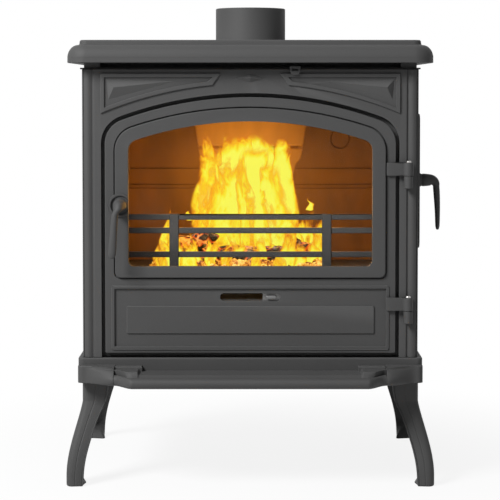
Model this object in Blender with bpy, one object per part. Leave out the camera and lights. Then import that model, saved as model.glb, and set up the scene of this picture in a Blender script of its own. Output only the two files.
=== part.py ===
"""Cast-iron wood stove on four flared legs, with a glazed front door and a loading door in its right side.

The stove is modelled about its own body: X runs to the right from the middle of the body, Y runs back from
the face of the front casting, and Z is the height above the floor. One empty then sets the whole stove so
that the middle of its bounding box stands on the origin. Everything is in metres.
"""

import math

import bmesh
import bpy
from mathutils import Vector

# Clearances
SEAT = 0.0003  # between two pieces that rest on each other
RUNNING = 0.0006  # round a piece that turns or slides
BITE = 0.002  # how far a joined shape reaches into the one that carries it
CUT_PAST = 0.010  # how far a cutting shape runs past the face that it opens
CORE_CORNER = 0.010  # corner radius of a cored hollow or a raised field
ROUND_END = 0.4995  # share of a slot's width that rounds each of its ends

# Body
BODY_DEPTH = 0.480
BODY_HEIGHT = 0.5736
PANEL_THICKNESS = 0.006
PANEL_INSET = 0.006  # side panels lie this far behind the outer face of the corner posts
FIELD_MARGIN = 0.045  # plain border round the raised field of a panel
FIELD_RISE = 0.002

# Front casting
POST_WIDTH = 0.0455  # from the edge of the door out to the side of the body
FACE_THICKNESS = 0.024
POST_DEPTH = 0.034
POST_WALL = 0.010
POST_REED_WIDTH = 0.021  # from the groove out to the side of the body
POST_GROOVE = 0.0022
REED_RISE = 0.0012
REED_START = 0.0015  # from the bottom of the groove across to the reed
BEAD_WIDTH = 0.0042
BEAD_RADIUS = 0.0025
BEAD_SETBACK = 0.0045
BEAD_NOTCH_WIDTH = 0.0008
BEAD_NOTCH = 0.0016
DOOR_RECESS = 0.016
RECESS_FOOT = 0.0005
DOORWAY_FOOT = 0.010

# Front door
DOOR_HALF_WIDTH = 0.2885
DOOR_HEAD = 0.055  # from the top of the body down to the door's apex
DOOR_ARCH_RADIUS = 0.742
DOOR_SHOULDER = 0.050
DOOR_FOOT = 0.002
DOOR_GAP = 0.0075  # all round the door
DOOR_BOTTOM_GAP = 0.0096
DOOR_PROUD = 0.004  # face of the door before the face of the front casting
DOOR_THICKNESS = 0.010
DOOR_RIM = 0.0065
DOOR_RIM_DEPTH = 0.006
ROPE_RADIUS = 0.0046
ROPE_CORNER = 0.008
LANDING_LAP = 0.0205  # from the door's edge in to the doorway

# Window
WINDOW_SIDE = 0.0465  # from the edge of the door in to the window
WINDOW_BOTTOM = 0.440
WINDOW_HEAD = 0.048  # from the door's apex down to the window's
WINDOW_ARCH_RADIUS = 0.715
WINDOW_SHOULDER = 0.022
WINDOW_FOOT = 0.012
SURROUND_WIDTH = 0.0265
SURROUND_FOOT_WIDTH = 0.0225  # below the window
SURROUND_RISE = 0.006
GLASS_LAP = 0.008
GLASS_THICKNESS = 0.004
GLASS_CORNER = 0.008
CLIP_WIDTH = 0.026
CLIP_THICKNESS = 0.0015
CLIP_FOOT = 0.008
CLIP_REACH = 0.006
CLIP_X = 0.150

# Lower panel of the front door
LOWER_SIDE = 0.0125  # from the edge of the door in to the lower panel
LOWER_TOP = 0.4016
LOWER_BOTTOM = 0.2725
LOWER_RISE = 0.002
LOWER_RIM_SIDE = 0.006
LOWER_RIM_TOP = 0.0062
LOWER_RIM_BOTTOM = 0.0075
LOWER_SINK = 0.0045
LOWER_CORNER = 0.004
TABLET_SIDE = 0.030  # from the edge of the lower panel in to the tablet
TABLET_TOP = 0.3604
TABLET_BOTTOM = 0.3058
TABLET_RISE = 0.003
TABLET_CORNER = 0.002
SLOT_HALF_LENGTH = 0.060
SLOT_HEIGHT = 0.015
SLOT_Z = 0.3783

# Lower air slide
SLIDE_THICKNESS = 0.002
SLIDE_HEIGHT = 0.030
SLIDE_REACH = 0.112  # from the knob to each end of the slide
KNOB_X = 0.0415
KNOB_LENGTH = 0.0198
KNOB_HEIGHT = 0.007
KNOB_PROUD = 0.004
KNOB_CORNER = 0.0028
PORT_MARGIN = 0.007
PORT_CORNER = 0.003
RAIL_LENGTH = 0.330
RAIL_LIP = 0.004
RAIL_THICKNESS = 0.0015

# Upper air slide
TAB_X = 0.0885
TAB_WIDTH = 0.021
TAB_DROP = 0.017
TAB_PLATE = 0.002
TAB_PROUD = 0.008
TAB_CORNER = 0.0095
TAB_SLIT = 0.0045
TAB_SLIT_HALF_LENGTH = 0.0063
TAB_SLIT_DROP = 0.0071
TAB_TONGUE_HALF_WIDTH = 0.0084
UPPER_SLIDE_LENGTH = 0.150
UPPER_SLIDE_DEPTH = 0.022

# Ornament of the front casting
SPANDREL_RISE = 0.0025
SPANDREL_BORDER = 0.0075
SPANDREL_HEAD = 0.0082  # from the top of the body down to the spandrel
SPANDREL_PAST_DOOR = 0.0083
SPANDREL_INNER_X = 0.059
SPANDREL_SLOPE = 0.016
SPANDREL_ARCH_OFFSET = 0.020
SPANDREL_TIP_BORDER = 1.3  # the border at its tip, as a multiple of its width elsewhere
PYRAMID_RISE = 0.006
PYRAMID_MARGIN = 0.004
PYRAMID_TAIL_X = 0.145
PYRAMID_TAIL_DROP = 0.007
PYRAMID_FOOT_MARGIN = 0.008
PYRAMID_FOOT_RISE = 0.016
PYRAMID_PEAK_MARGIN = 0.019
PYRAMID_PEAK_RISE = 0.010
DIAMOND_HALF_WIDTH = 0.0325
DIAMOND_HALF_HEIGHT = 0.008
DIAMOND_DROP = 0.0094  # from the top of the spandrels down to its middle
DIAMOND_RISE = 0.004

# Front hinges
HINGE_PAST_DOOR = 0.0245
HINGE_PROUD = 0.012
HINGE_RADIUS = 0.010
LUG_RADIUS = 0.009
PIN_RADIUS = 0.004
PIN_HEAD_RADIUS = 0.0055
PIN_HEAD_HEIGHT = 0.004
PIN_HEAD_EDGE = 0.001
PIN_STOP = 0.002  # the pin ends this far above the lug's foot
LEAF_CLEAR = 0.001  # from a leaf to the bore of its barrel
LUG_FOOT_SHARE = 0.7  # of the barrel's radius
STRAP_HEIGHT = 0.026
STRAP_REACH = 0.0185  # from the edge of the door in over its face
STRAP_THICKNESS = 0.006
LUG_HEIGHT = 0.0245
UPPER_HINGE_Z = 0.6205
LOWER_HINGE_Z = 0.352

# Handles
SPINDLE_INSET = 0.0305  # from the edge of the door
SPINDLE_Z = 0.562
SPINDLE_RADIUS = 0.005
SPINDLE_SOCKET = 0.018
SPINDLE_PAST = 0.004  # beyond the tongue
BOSS_RADIUS = 0.024
BOSS_RISE = 0.003
HUB_RADIUS = 0.014
HUB_END_RADIUS = 0.012
HUB_LENGTH = 0.026
LEVER_PROUD = 0.038
LEVER_BOW = 0.002
LEVER_LEAN = 0.003
LEVER_DROP = 0.102
LEVER_HALF_WIDTH = 0.0085
LEVER_TIP_HALF_WIDTH = 0.0065
LEVER_THICKNESS = 0.012
LEVER_TIP_THICKNESS = 0.007
LEVER_TIP_START = 0.93  # share of the lever's length where its round tip starts
LEVER_TIP_ROUND = 0.62
LEVER_TILT = 4.0  # degrees that the front lever hangs out of the upright
TONGUE_LENGTH = 0.030
TONGUE_HALF_WIDTH = 0.006
TONGUE_THICKNESS = 0.006
TONGUE_EYE = 0.009
TONGUE_NECK = 0.004
SIDE_TONGUE_LAP = 0.008
CATCH_THICKNESS = 0.003
CATCH_WIDTH = 0.020
CATCH_HEIGHT = 0.040

# Side door
SIDE_DOOR_FRONT = 0.060
SIDE_DOOR_REAR = 0.360
SIDE_DOOR_BOTTOM = 0.470
SIDE_DOOR_RADIUS = 0.012
SIDE_DOOR_THICKNESS = 0.0096
SIDE_DOOR_LAP = 0.025
SIDE_ROPE_RADIUS = 0.0022
SIDE_ROPE_INSET = 0.009
SIDE_FIELD_MARGIN = 0.028
SIDE_FIELD_SINK = 0.003
SIDE_SPINDLE_Y = 0.110
SIDE_SPINDLE_Z = 0.606
SIDE_LEVER_DROP = 0.102
SIDE_HINGE_BEHIND = 0.012
SIDE_HINGE_RADIUS = 0.008
SIDE_HINGE_INSET = 0.045
SIDE_STRAP_REACH = 0.030
SIDE_STRAP_HEIGHT = 0.024

# Top
COLLAR_FLANGE = 0.003
COLLAR_FLANGE_LAP = 0.004  # beyond the side of the body
COLLAR_FLANGE_FRONT = 0.010
COLLAR_CLEAR = 0.002  # from the collar to the rim of the top plate
COLLAR_CORNER_WIDTH = 0.0315
COLLAR_CORNER_FRONT = 0.012
COLLAR_FRONT = 0.046
COLLAR_WALL = 0.010
UNDER_TOP_GAP = 0.0125
TOP_SIDE = 0.0285  # overhang beyond the side of the body
TOP_FRONT = 0.035  # overhang before the front casting
TOP_BACK = 0.025  # overhang behind the body
TOP_THICKNESS = 0.0455
TOP_SKIN = 0.008
TOP_RIM = 0.030
TOP_CORNER_RADIUS = 0.040
TOP_ARRIS = 0.0015
TOP_EDGE = 0.009  # upright part of the moulding
TOP_SWELL = 0.021  # run of the round above it
TOP_COVE_DROP = 0.010
TOP_LEDGE = 0.0245
TOP_LEDGE_ROUND = 0.004
FLUE_RADIUS = 0.075
FLUE_WALL = 0.005
FLUE_HEIGHT = 0.076
FLUE_Y = 0.330
FLUE_LEDGE = 0.009
FLUE_SEAT_DEPTH = 0.005
FLUE_CHAMFER = 0.002

# Base and ash lip
BASE_HEIGHT = 0.0488
BASE_MARGIN = 0.0095
BASE_WALL = 0.007
BASE_SKIN = 0.006
BASE_CORNER_RADIUS = 0.012
BASE_STEP = 0.0143  # from the top of the base down to its swept skirt
SEAM_INSET = 0.065  # from the side of the body
SEAM_PROUD = 0.056
SWEEP_END_Y = -0.004  # where the swept front meets the side
LIP_PROUD = 0.095
LIP_SWEEP = 0.040  # run of the lip's swept end
LIP_TRAY_DROP = 0.025
LIP_LEDGE_PAST = 0.012  # how far the ledge runs on beyond the sweep
LIP_LEDGE_DROP = 0.0045  # from the base's skirt down to the ledge
LIP_SHELF_PAST = 0.0145  # how far the upper shelf runs on beyond the sweep
LIP_SHELF_DEPTH = 0.018
LIP_STEP_RUN = 0.005
LIP_TRAY_FRONT = 0.062
LIP_NOSE_RADIUS = 0.0105
LIP_COVE_ANGLE = 42  # degrees round the nose at which the cove meets it
LIP_COVE_RUN = 0.008  # at least
LIP_UNDER_RUN = 0.012
LIP_UNDER_RISE = 0.0074
LIP_PLAIN_X = 0.100
LIP_SWEEP_STEPS = 5

# Legs
LEG_HEIGHT = 0.208
LEG_SETBACK = 0.018  # from the front and the back of the body
LEG_OUTSET = 0.0035  # from the side of the body out to the leg's top
LEG_TOP_WIDTH = 0.052
LEG_ANKLE_WIDTH = 0.0395
LEG_FOOT_WIDTH = 0.034
LEG_ANKLE_Z = 0.120
LEG_FLARE = 0.0335
LEG_FLARE_TOP = 0.166
LEG_FLARE_END = 0.020
LEG_FLARE_SHAPE = 1.2
LEG_WALL = 0.010
LEG_CORNER_RADIUS = 0.012
LEG_CREASE = 0.0006
LEG_CREASE_HALF = 0.0016
LEG_ROLL = 0.0035  # how far each face falls back from its corner to its inner edge
LEG_BEAD = 0.0014
LEG_BEAD_WIDTH = 0.0035
LEG_CREASE_SHARE = 0.52  # of the flange's width
LEG_INNER_BEVEL = 0.004
LEG_SOLE_HEIGHT = 0.044  # the angle fills out into a sole below this height
LEG_SOLE_PAST = 0.005
LEG_STEPS = 9
LEG_PAD = 0.009

# Firebox
HEARTH_Z = 0.405
HEARTH_THICKNESS = 0.008
HEARTH_SETBACK = 0.010
LEDGE_WIDTH = 0.018
LEDGE_HEIGHT = 0.009
LEDGE_MARGIN = 0.030
GRATE_HALF_WIDTH = 0.130
GRATE_FRONT = 0.120
GRATE_REAR = 0.330
GRATE_THICKNESS = 0.006
GRATE_REBATE = 0.006
GRATE_SLOTS = 9
GRATE_SLOT_WIDTH = 0.012
GRATE_EDGE = 0.018
LINER_THICKNESS = 0.010
LINER_HEAD = 0.089  # from the top of the body down to the top of the liners
LINER_OPENING_MARGIN = 0.020
FIREBACK_Y = 0.400
UPPER_GROOVE_Z = 0.617
MIDDLE_GROOVE_Z = 0.581
LOWER_GROOVE_Z = 0.573
GROOVE_WIDTH = 0.002
GROOVE_DEPTH = 0.002
KNOCKOUT_X = 0.198
KNOCKOUT_Z = 0.682
KNOCKOUT_RADIUS = 0.022
CENTRE_DEPTH = 0.055
CENTRE_BOTTOM = 0.500
CENTRE_BOTTOM_HALF = 0.066
CENTRE_STEP_Z = 0.632
CENTRE_STEP_HALF = 0.100
CENTRE_STEP = 0.008
CENTRE_GAP_Z = 0.662
CENTRE_GAP = 0.006
CENTRE_GAP_HALF = 0.1146
CENTRE_TOP_HALF = 0.126
BAFFLE_THICKNESS = 0.008
BAFFLE_FRONT = 0.110
GUARD_Y = 0.060
GUARD_DEPTH = 0.008
GUARD_BAR = 0.0115
LOWER_BAR_Z = 0.4575
MIDDLE_BAR_Z = 0.506
UPPER_BAR_Z = 0.5335
GUARD_POST_WIDTH = 0.0185
GUARD_POST_X = 0.1545
GUARD_END_GAP = 0.003
PAN_HALF_WIDTH = 0.150
PAN_FRONT = 0.050
PAN_DEPTH = 0.320
PAN_HEIGHT = 0.085
PAN_WALL = 0.002
PAN_RUNNER_X = 0.110
PAN_RUNNER_WIDTH = 0.012
PAN_RUNNER_HEIGHT = 0.026
PAN_PULL_HALF_WIDTH = 0.040
PAN_PULL_REACH = 0.022
PAN_PULL_RADIUS = 0.003
PAN_PULL_BEND = 0.0008

# Heights and places that follow from the sizes above
BASE_BOTTOM = LEG_HEIGHT + SEAT
BASE_TOP = BASE_BOTTOM + BASE_HEIGHT
BODY_BOTTOM = BASE_TOP + SEAT
BODY_TOP = BODY_BOTTOM + BODY_HEIGHT
DOOR_APEX = BODY_TOP - DOOR_HEAD
WINDOW_APEX = DOOR_APEX - WINDOW_HEAD
SPANDREL_TOP = BODY_TOP - SPANDREL_HEAD
DIAMOND_Z = SPANDREL_TOP - DIAMOND_DROP
LINER_TOP = BODY_TOP - LINER_HEAD
SIDE_DOOR_TOP = LINER_TOP
BODY_HALF_WIDTH = DOOR_HALF_WIDTH + POST_WIDTH
POST_GROOVE_X = BODY_HALF_WIDTH - POST_REED_WIDTH
WINDOW_HALF_WIDTH = DOOR_HALF_WIDTH - WINDOW_SIDE
LOWER_HALF_WIDTH = DOOR_HALF_WIDTH - LOWER_SIDE
TABLET_HALF_WIDTH = LOWER_HALF_WIDTH - TABLET_SIDE
SPANDREL_OUTER_X = DOOR_HALF_WIDTH + SPANDREL_PAST_DOOR
HINGE_X = DOOR_HALF_WIDTH + HINGE_PAST_DOOR
STRAP_INNER_X = DOOR_HALF_WIDTH - STRAP_REACH
SPINDLE_X = SPINDLE_INSET - DOOR_HALF_WIDTH
TOP_HALF_WIDTH = BODY_HALF_WIDTH + TOP_SIDE
COLLAR_FLANGE_HALF_WIDTH = BODY_HALF_WIDTH + COLLAR_FLANGE_LAP
COLLAR_HALF_WIDTH = TOP_HALF_WIDTH - TOP_RIM - COLLAR_CLEAR
SEAM_X = BODY_HALF_WIDTH - SEAM_INSET
LIP_FULL_X = SEAM_X - LIP_SWEEP
LIP_STEP_X = LIP_FULL_X - LIP_LEDGE_PAST
GUARD_BARS = (LOWER_BAR_Z, MIDDLE_BAR_Z, UPPER_BAR_Z)
FLANGE_BOTTOM = BODY_TOP + SEAT
FLANGE_TOP = FLANGE_BOTTOM + COLLAR_FLANGE
TOP_BOTTOM = BODY_TOP + UNDER_TOP_GAP
TOP_SURFACE = TOP_BOTTOM + TOP_THICKNESS
TOP_CEILING = TOP_SURFACE - TOP_SKIN
PANEL_OUTER = BODY_HALF_WIDTH - PANEL_INSET
PANEL_INNER = PANEL_OUTER - PANEL_THICKNESS
BACK_OUTER = BODY_DEPTH
BACK_INNER = BACK_OUTER - PANEL_THICKNESS
DOOR_BOTTOM = BODY_BOTTOM + DOOR_BOTTOM_GAP
DOOR_FACE = -DOOR_PROUD
DOOR_BACK = DOOR_FACE + DOOR_THICKNESS
SURROUND_FACE = DOOR_FACE - SURROUND_RISE
SIDE_DOOR_FACE = PANEL_OUTER + 2 * SIDE_ROPE_RADIUS + 2 * SEAT + SIDE_DOOR_THICKNESS
SIDE_DOOR_BACK = SIDE_DOOR_FACE - SIDE_DOOR_THICKNESS
HEARTH_TOP = HEARTH_Z + HEARTH_THICKNESS
LINER_BOTTOM = HEARTH_TOP + SEAT
LINER_OUTER = PANEL_INNER - SEAT
LINER_INNER = LINER_OUTER - LINER_THICKNESS
SPIGOT_BOTTOM = TOP_SURFACE - FLUE_SEAT_DEPTH + SEAT
SPIGOT_TOP = TOP_SURFACE + FLUE_HEIGHT
CATCH_Y = FACE_THICKNESS + SEAT
TONGUE_Y = CATCH_Y + CATCH_THICKNESS + RUNNING
HINGE_Y = -HINGE_PROUD
SIDE_HINGE_X = (SIDE_DOOR_FACE + SIDE_DOOR_BACK) / 2
SIDE_HINGE_Y = SIDE_DOOR_REAR + SIDE_HINGE_BEHIND
PAN_BOTTOM = BASE_TOP + PAN_RUNNER_HEIGHT + SEAT
LEVER_OUTER = SIDE_DOOR_FACE + LEVER_PROUD + LEVER_LEAN + LEVER_THICKNESS / 2
FOOT_REACH = BODY_HALF_WIDTH + LEG_FLARE

ARC_STEPS = 6
ARCH_STEPS = 18
ROUND_STEPS = 20
SMALL_STEPS = 16
BOSS_STEPS = 28
FLUE_STEPS = 40
KNOCKOUT_STEPS = 24
NOSE_LEVELS = 3
SKIRT_LEVELS = 6
HANDLE_SIDES = 12
AXIS_SIZE = 0.05  # drawn size of the empties


# Outlines


def arc(centre, radius, start, end, steps):
    """Points of an arc about centre, from one angle to another in degrees."""
    points = []
    for i in range(steps + 1):
        angle = math.radians(start + (end - start) * i / steps)
        points.append((centre[0] + radius * math.cos(angle), centre[1] + radius * math.sin(angle)))
    return points


def ease(share):
    """A smooth step from 0 to 1."""
    share = min(max(share, 0.0), 1.0)
    return share * share * (3 - 2 * share)


def bowed(start, end, rise, steps):
    """Points of a shallow arch from start to end, which stands proud of their line by rise."""
    a, b = Vector(start), Vector(end)
    out = Vector(((b - a).y, -(b - a).x)).normalized()
    points = []
    for i in range(steps + 1):
        share = i / steps
        points.append(tuple(a.lerp(b, share) + out * rise * math.sin(math.pi * share)))
    return points


def rounded_box(left, right, low, high, radius, steps=ARC_STEPS):
    """A rectangle with round corners, anticlockwise from its lower left."""
    points = arc((left + radius, low + radius), radius, 180, 270, steps)
    points += arc((right - radius, low + radius), radius, 270, 360, steps)
    points += arc((right - radius, high - radius), radius, 0, 90, steps)
    points += arc((left + radius, high - radius), radius, 90, 180, steps)
    return points


def box_outline(left, right, low, high):
    """A plain rectangle, anticlockwise from its lower left."""
    return [(left, low), (right, low), (right, high), (left, high)]


def arched(half_width, bottom, apex, arch_radius, shoulder, foot):
    """An upright opening with a low arched head, round shoulders and round feet, anticlockwise."""
    arch_centre = apex - arch_radius
    fillet_x = half_width - shoulder
    fillet_z = arch_centre + math.sqrt((arch_radius - shoulder) ** 2 - fillet_x ** 2)
    turn = math.degrees(math.atan2(fillet_z - arch_centre, fillet_x))
    points = arc((-half_width + foot, bottom + foot), foot, 180, 270, ARC_STEPS // 2)
    points += arc((half_width - foot, bottom + foot), foot, 270, 360, ARC_STEPS // 2)
    points += arc((fillet_x, fillet_z), shoulder, 0, turn, ARC_STEPS)
    points += arc((0, arch_centre), arch_radius, turn, 180 - turn, ARCH_STEPS)[1:-1]
    points += arc((-fillet_x, fillet_z), shoulder, 180 - turn, 180, ARC_STEPS)
    return points


def door_outline(inset, foot=None):
    """The front door's outline, moved in by inset on every side."""
    return arched(
        DOOR_HALF_WIDTH - inset,
        DOOR_BOTTOM + inset,
        DOOR_APEX - inset,
        DOOR_ARCH_RADIUS - inset,
        DOOR_SHOULDER - inset,
        DOOR_FOOT if foot is None else foot,
    )


def window_outline(outset, foot=WINDOW_FOOT, drop=None):
    """The window's outline, moved out by outset on every side, or down by drop at its bottom."""
    return arched(
        WINDOW_HALF_WIDTH + outset,
        WINDOW_BOTTOM - (outset if drop is None else drop),
        WINDOW_APEX + outset,
        WINDOW_ARCH_RADIUS + outset,
        WINDOW_SHOULDER + outset,
        foot,
    )


def mirrored(points):
    """The same outline on the other side of X = 0, still running the same way round."""
    return [(-u, v) for u, v in reversed(points)]


# Meshes


def place(axis, u, v, height):
    """The point at (u, v) of an outline that lies square to an axis, at a height along that axis."""
    if axis == "X":
        return Vector((height, u, v))
    if axis == "Y":
        return Vector((u, height, v))
    return Vector((u, v, height))


def to_mesh(shape, name):
    """Turns a bmesh into a mesh whose faces point out."""
    bmesh.ops.recalc_face_normals(shape, faces=shape.faces)
    mesh = bpy.data.meshes.new(name)
    shape.to_mesh(mesh)
    shape.free()
    return mesh


def loft(rings, name="loft"):
    """A closed solid through rings of points, with a flat face at each end."""
    shape = bmesh.new()
    loops = [[shape.verts.new(p) for p in ring] for ring in rings]
    count = len(loops[0])
    for lower, upper in zip(loops, loops[1:]):
        for i in range(count):
            j = (i + 1) % count
            shape.faces.new((lower[i], lower[j], upper[j], upper[i]))
    shape.faces.new(list(reversed(loops[0])))
    shape.faces.new(loops[-1])
    return to_mesh(shape, name)


def prism(outline, axis, low, high):
    """An outline pushed along an axis from low to high."""
    return loft([[place(axis, u, v, w) for u, v in outline] for w in (low, high)], "prism")


def block(x, y, z):
    """A box from three (low, high) pairs."""
    return prism(box_outline(x[0], x[1], y[0], y[1]), "Z", z[0], z[1])


def ring(outer, inner, axis, low, high):
    """The space between two outlines of as many points, pushed along an axis."""
    shape = bmesh.new()
    loops = []
    for outline, w in ((outer, low), (outer, high), (inner, high), (inner, low)):
        loops.append([shape.verts.new(place(axis, u, v, w)) for u, v in outline])
    count = len(outer)
    for a, b in zip(loops, loops[1:] + loops[:1]):
        for i in range(count):
            j = (i + 1) % count
            shape.faces.new((a[i], a[j], b[j], b[i]))
    return to_mesh(shape, "ring")


def rope_loop(outline, axis, height, radius, sides=8):
    """A closed round rope that follows an outline."""
    count = len(outline)
    shape = bmesh.new()
    loops = []
    for i in range(count):
        before, here, after = (Vector(outline[(i + k) % count]) for k in (-1, 0, 1))
        run = (after - before).normalized()
        out = Vector((run.y, -run.x))
        section = []
        for k in range(sides):
            angle = 2 * math.pi * (k + 0.5) / sides
            spot = here + out * radius * math.cos(angle)
            section.append(shape.verts.new(place(axis, spot.x, spot.y, height + radius * math.sin(angle))))
        loops.append(section)
    for a, b in zip(loops, loops[1:] + loops[:1]):
        for k in range(sides):
            m = (k + 1) % sides
            shape.faces.new((a[k], a[m], b[m], b[k]))
    return to_mesh(shape, "rope")


def turned(profile, axis, centre, steps=ROUND_STEPS, hollow=False):
    """A profile of (radius, height) points turned about an axis through centre."""
    shape = bmesh.new()
    loops = []
    for radius, height in profile:
        if radius == 0:
            loops.append([shape.verts.new(place(axis, centre[0], centre[1], height))])
            continue
        circle = arc(centre, radius, 0, 360 - 360 / steps, steps - 1)
        loops.append([shape.verts.new(place(axis, u, v, height)) for u, v in circle])
    pairs = list(zip(loops, loops[1:]))
    if hollow:
        pairs.append((loops[-1], loops[0]))
    for a, b in pairs:
        for i in range(steps):
            j = (i + 1) % steps
            corners = [a[i % len(a)], a[j % len(a)], b[j % len(b)], b[i % len(b)]]
            shape.faces.new(list(dict.fromkeys(corners)))
    if not hollow:
        for end in (loops[0], loops[-1]):
            if len(end) > 1:
                shape.faces.new(end)
    return to_mesh(shape, "turned")


def cylinder(axis, centre, radius, low, high, steps=ROUND_STEPS):
    """A plain round bar."""
    return turned([(radius, low), (radius, high)], axis, centre, steps)


# Objects and finishes

FINISHES = {
    "cast_iron": ((0.075, 0.077, 0.080, 1), 0.55, 0.6),
    "dark_iron": ((0.030, 0.031, 0.033, 1), 0.60, 0.6),
    "steel": ((0.42, 0.42, 0.43, 1), 0.30, 1.0),
    "sheet_steel": ((0.10, 0.10, 0.105, 1), 0.45, 0.9),
    "liner": ((0.23, 0.115, 0.045, 1), 0.85, 0.0),
    "glass": ((0.80, 0.85, 0.85, 1), 0.05, 0.0),
    "rope": ((0.12, 0.12, 0.12, 1), 0.95, 0.0),
}


def finish_of(name, kind):
    """A material for one piece."""
    material = bpy.data.materials.new(f"{name}_{kind}")
    material.use_nodes = True
    shader = material.node_tree.nodes["Principled BSDF"]
    colour, roughness, metallic = FINISHES[kind]
    shader.inputs["Base Color"].default_value = colour
    shader.inputs["Roughness"].default_value = roughness
    shader.inputs["Metallic"].default_value = metallic
    if kind == "glass":
        shader.inputs["Transmission Weight"].default_value = 0.9
    return material


class Body:
    """An empty that carries the pieces which move together, on their joint's axis."""

    def __init__(self, name, at, parent=None):
        self.at = Vector(at)
        self.empty = bpy.data.objects.new(name, None)
        self.empty.empty_display_size = AXIS_SIZE
        bpy.context.scene.collection.objects.link(self.empty)
        if parent is not None:
            self.empty.parent = parent.empty
            self.empty.location = self.at - parent.at
        else:
            self.empty.location = self.at

    def piece(self, name, mesh, kind="cast_iron", smooth=None):
        """Adds a named piece, modelled in the stove's own coordinates."""
        mesh.name = name
        mesh.materials.append(finish_of(name, kind))
        item = bpy.data.objects.new(name, mesh)
        bpy.context.scene.collection.objects.link(item)
        item.parent = self.empty
        item.location = -self.at
        if smooth is not None:
            mesh.shade_smooth()
            mesh.set_sharp_from_angle(angle=math.radians(smooth))
        return item


def shape_with(target, mesh, operation, label):
    """Cuts a shape from a piece, or joins one to it."""
    tool = bpy.data.objects.new(f"{target.name}_{label}", mesh)
    bpy.context.scene.collection.objects.link(tool)
    tool.parent = target
    tool.hide_render = True
    tool.display_type = "WIRE"
    modifier = target.modifiers.new(label, "BOOLEAN")
    modifier.operation = operation
    modifier.solver = "EXACT"
    modifier.object = tool


def cut(target, mesh, label):
    """Cuts a shape from a piece."""
    shape_with(target, mesh, "DIFFERENCE", label)


def join(target, mesh, label):
    """Makes a shape part of a piece."""
    shape_with(target, mesh, "UNION", label)


# Base


def nose_inset(z):
    """How far the ash lip's section lies behind its nose at a height, where it meets the base."""
    rise = z - BASE_BOTTOM - LIP_NOSE_RADIUS
    meet = math.radians(LIP_COVE_ANGLE)
    cove_foot = LIP_NOSE_RADIUS * math.sin(meet)
    if rise <= cove_foot:
        return LIP_NOSE_RADIUS - math.sqrt(max(LIP_NOSE_RADIUS ** 2 - rise ** 2, 0.0))
    cove_height = BASE_HEIGHT - BASE_STEP - LIP_LEDGE_DROP - LIP_NOSE_RADIUS - cove_foot
    share = math.asin(min((rise - cove_foot) / cove_height, 1.0)) * 2 / math.pi
    foot = LIP_NOSE_RADIUS * (1 - math.cos(meet))
    return foot + (LIP_NOSE_RADIUS + LIP_COVE_RUN - foot) * share


def base_outline(z):
    """The base at a height: the body's footprint, with its front corners swept forward to the ash lip."""
    side = BODY_HALF_WIDTH + BASE_MARGIN
    radius = BASE_CORNER_RADIUS
    back = BODY_DEPTH + BASE_MARGIN
    right = arc((side - radius, back - radius), radius, 0, 90, ARC_STEPS // 2)
    sweep = []
    for i in range(ARC_STEPS + 3):
        share = i / (ARC_STEPS + 2)
        x = SEAM_X + (side - radius - SEAM_X) * share
        inset = nose_inset(z) * (1 - ease(share))
        sweep.append((x, -SEAM_PROUD + (SEAM_PROUD - radius + SWEEP_END_Y) * ease(share) + inset))
    corner = arc((side - radius, SWEEP_END_Y), radius, 270, 360, ARC_STEPS // 2)[1:]
    front = [(SEAM_X, -BASE_MARGIN / 2)] + sweep + corner
    half = front + right
    return half + mirrored(half)


def build_base(body):
    """The base casting: a tray turned over, open below, with two runners for the ash pan."""
    side = BODY_HALF_WIDTH + BASE_MARGIN
    back = BODY_DEPTH + BASE_MARGIN
    skirt_top = BASE_TOP - BASE_STEP
    front = -BASE_MARGIN / 2
    nose = LIP_NOSE_RADIUS
    levels = []
    for i in range(NOSE_LEVELS):
        levels.append(BASE_BOTTOM + nose * (1 - math.cos(math.pi / 2 * i / NOSE_LEVELS)))
    for i in range(SKIRT_LEVELS + 1):
        levels.append(BASE_BOTTOM + nose + (skirt_top - BASE_BOTTOM - nose) * i / SKIRT_LEVELS)
    rings = [[Vector((x, y, z)) for x, y in base_outline(z)] for z in levels]
    base = body.piece("base_casting", loft(rings), smooth=30)
    upper = rounded_box(-side, side, front, back, BASE_CORNER_RADIUS, ARC_STEPS // 2)
    join(base, prism(upper, "Z", skirt_top - BITE, BASE_TOP), "upper_step")
    for sign, label in ((-1, "left_runner"), (1, "right_runner")):
        x = sorted((sign * PAN_RUNNER_X, sign * (PAN_RUNNER_X + PAN_RUNNER_WIDTH)))
        y = (PAN_FRONT, PAN_FRONT + PAN_DEPTH)
        join(base, block(x, y, (BASE_TOP - BITE, BASE_TOP + PAN_RUNNER_HEIGHT)), label)
    pocket = block(
        (-side + BASE_WALL, side - BASE_WALL),
        (front + BASE_WALL, back - BASE_WALL),
        (BASE_BOTTOM - BITE, BASE_TOP - BASE_SKIN),
    )
    cut(base, pocket, "underside")
    for sign, label in ((-1, "left_leg_seat"), (1, "right_leg_seat")):
        x = sorted((sign * (side - BASE_WALL - BITE), sign * (BODY_HALF_WIDTH - LEG_TOP_WIDTH)))
        for y, end in (
            ((front + BITE, LEG_SETBACK + LEG_TOP_WIDTH), "front"),
            ((BODY_DEPTH - LEG_SETBACK - LEG_TOP_WIDTH, back - BITE), "rear"),
        ):
            seat = block(x, y, (BASE_BOTTOM, BASE_TOP - BASE_SKIN + BITE))
            join(base, seat, f"{label}_{end}")


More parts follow.
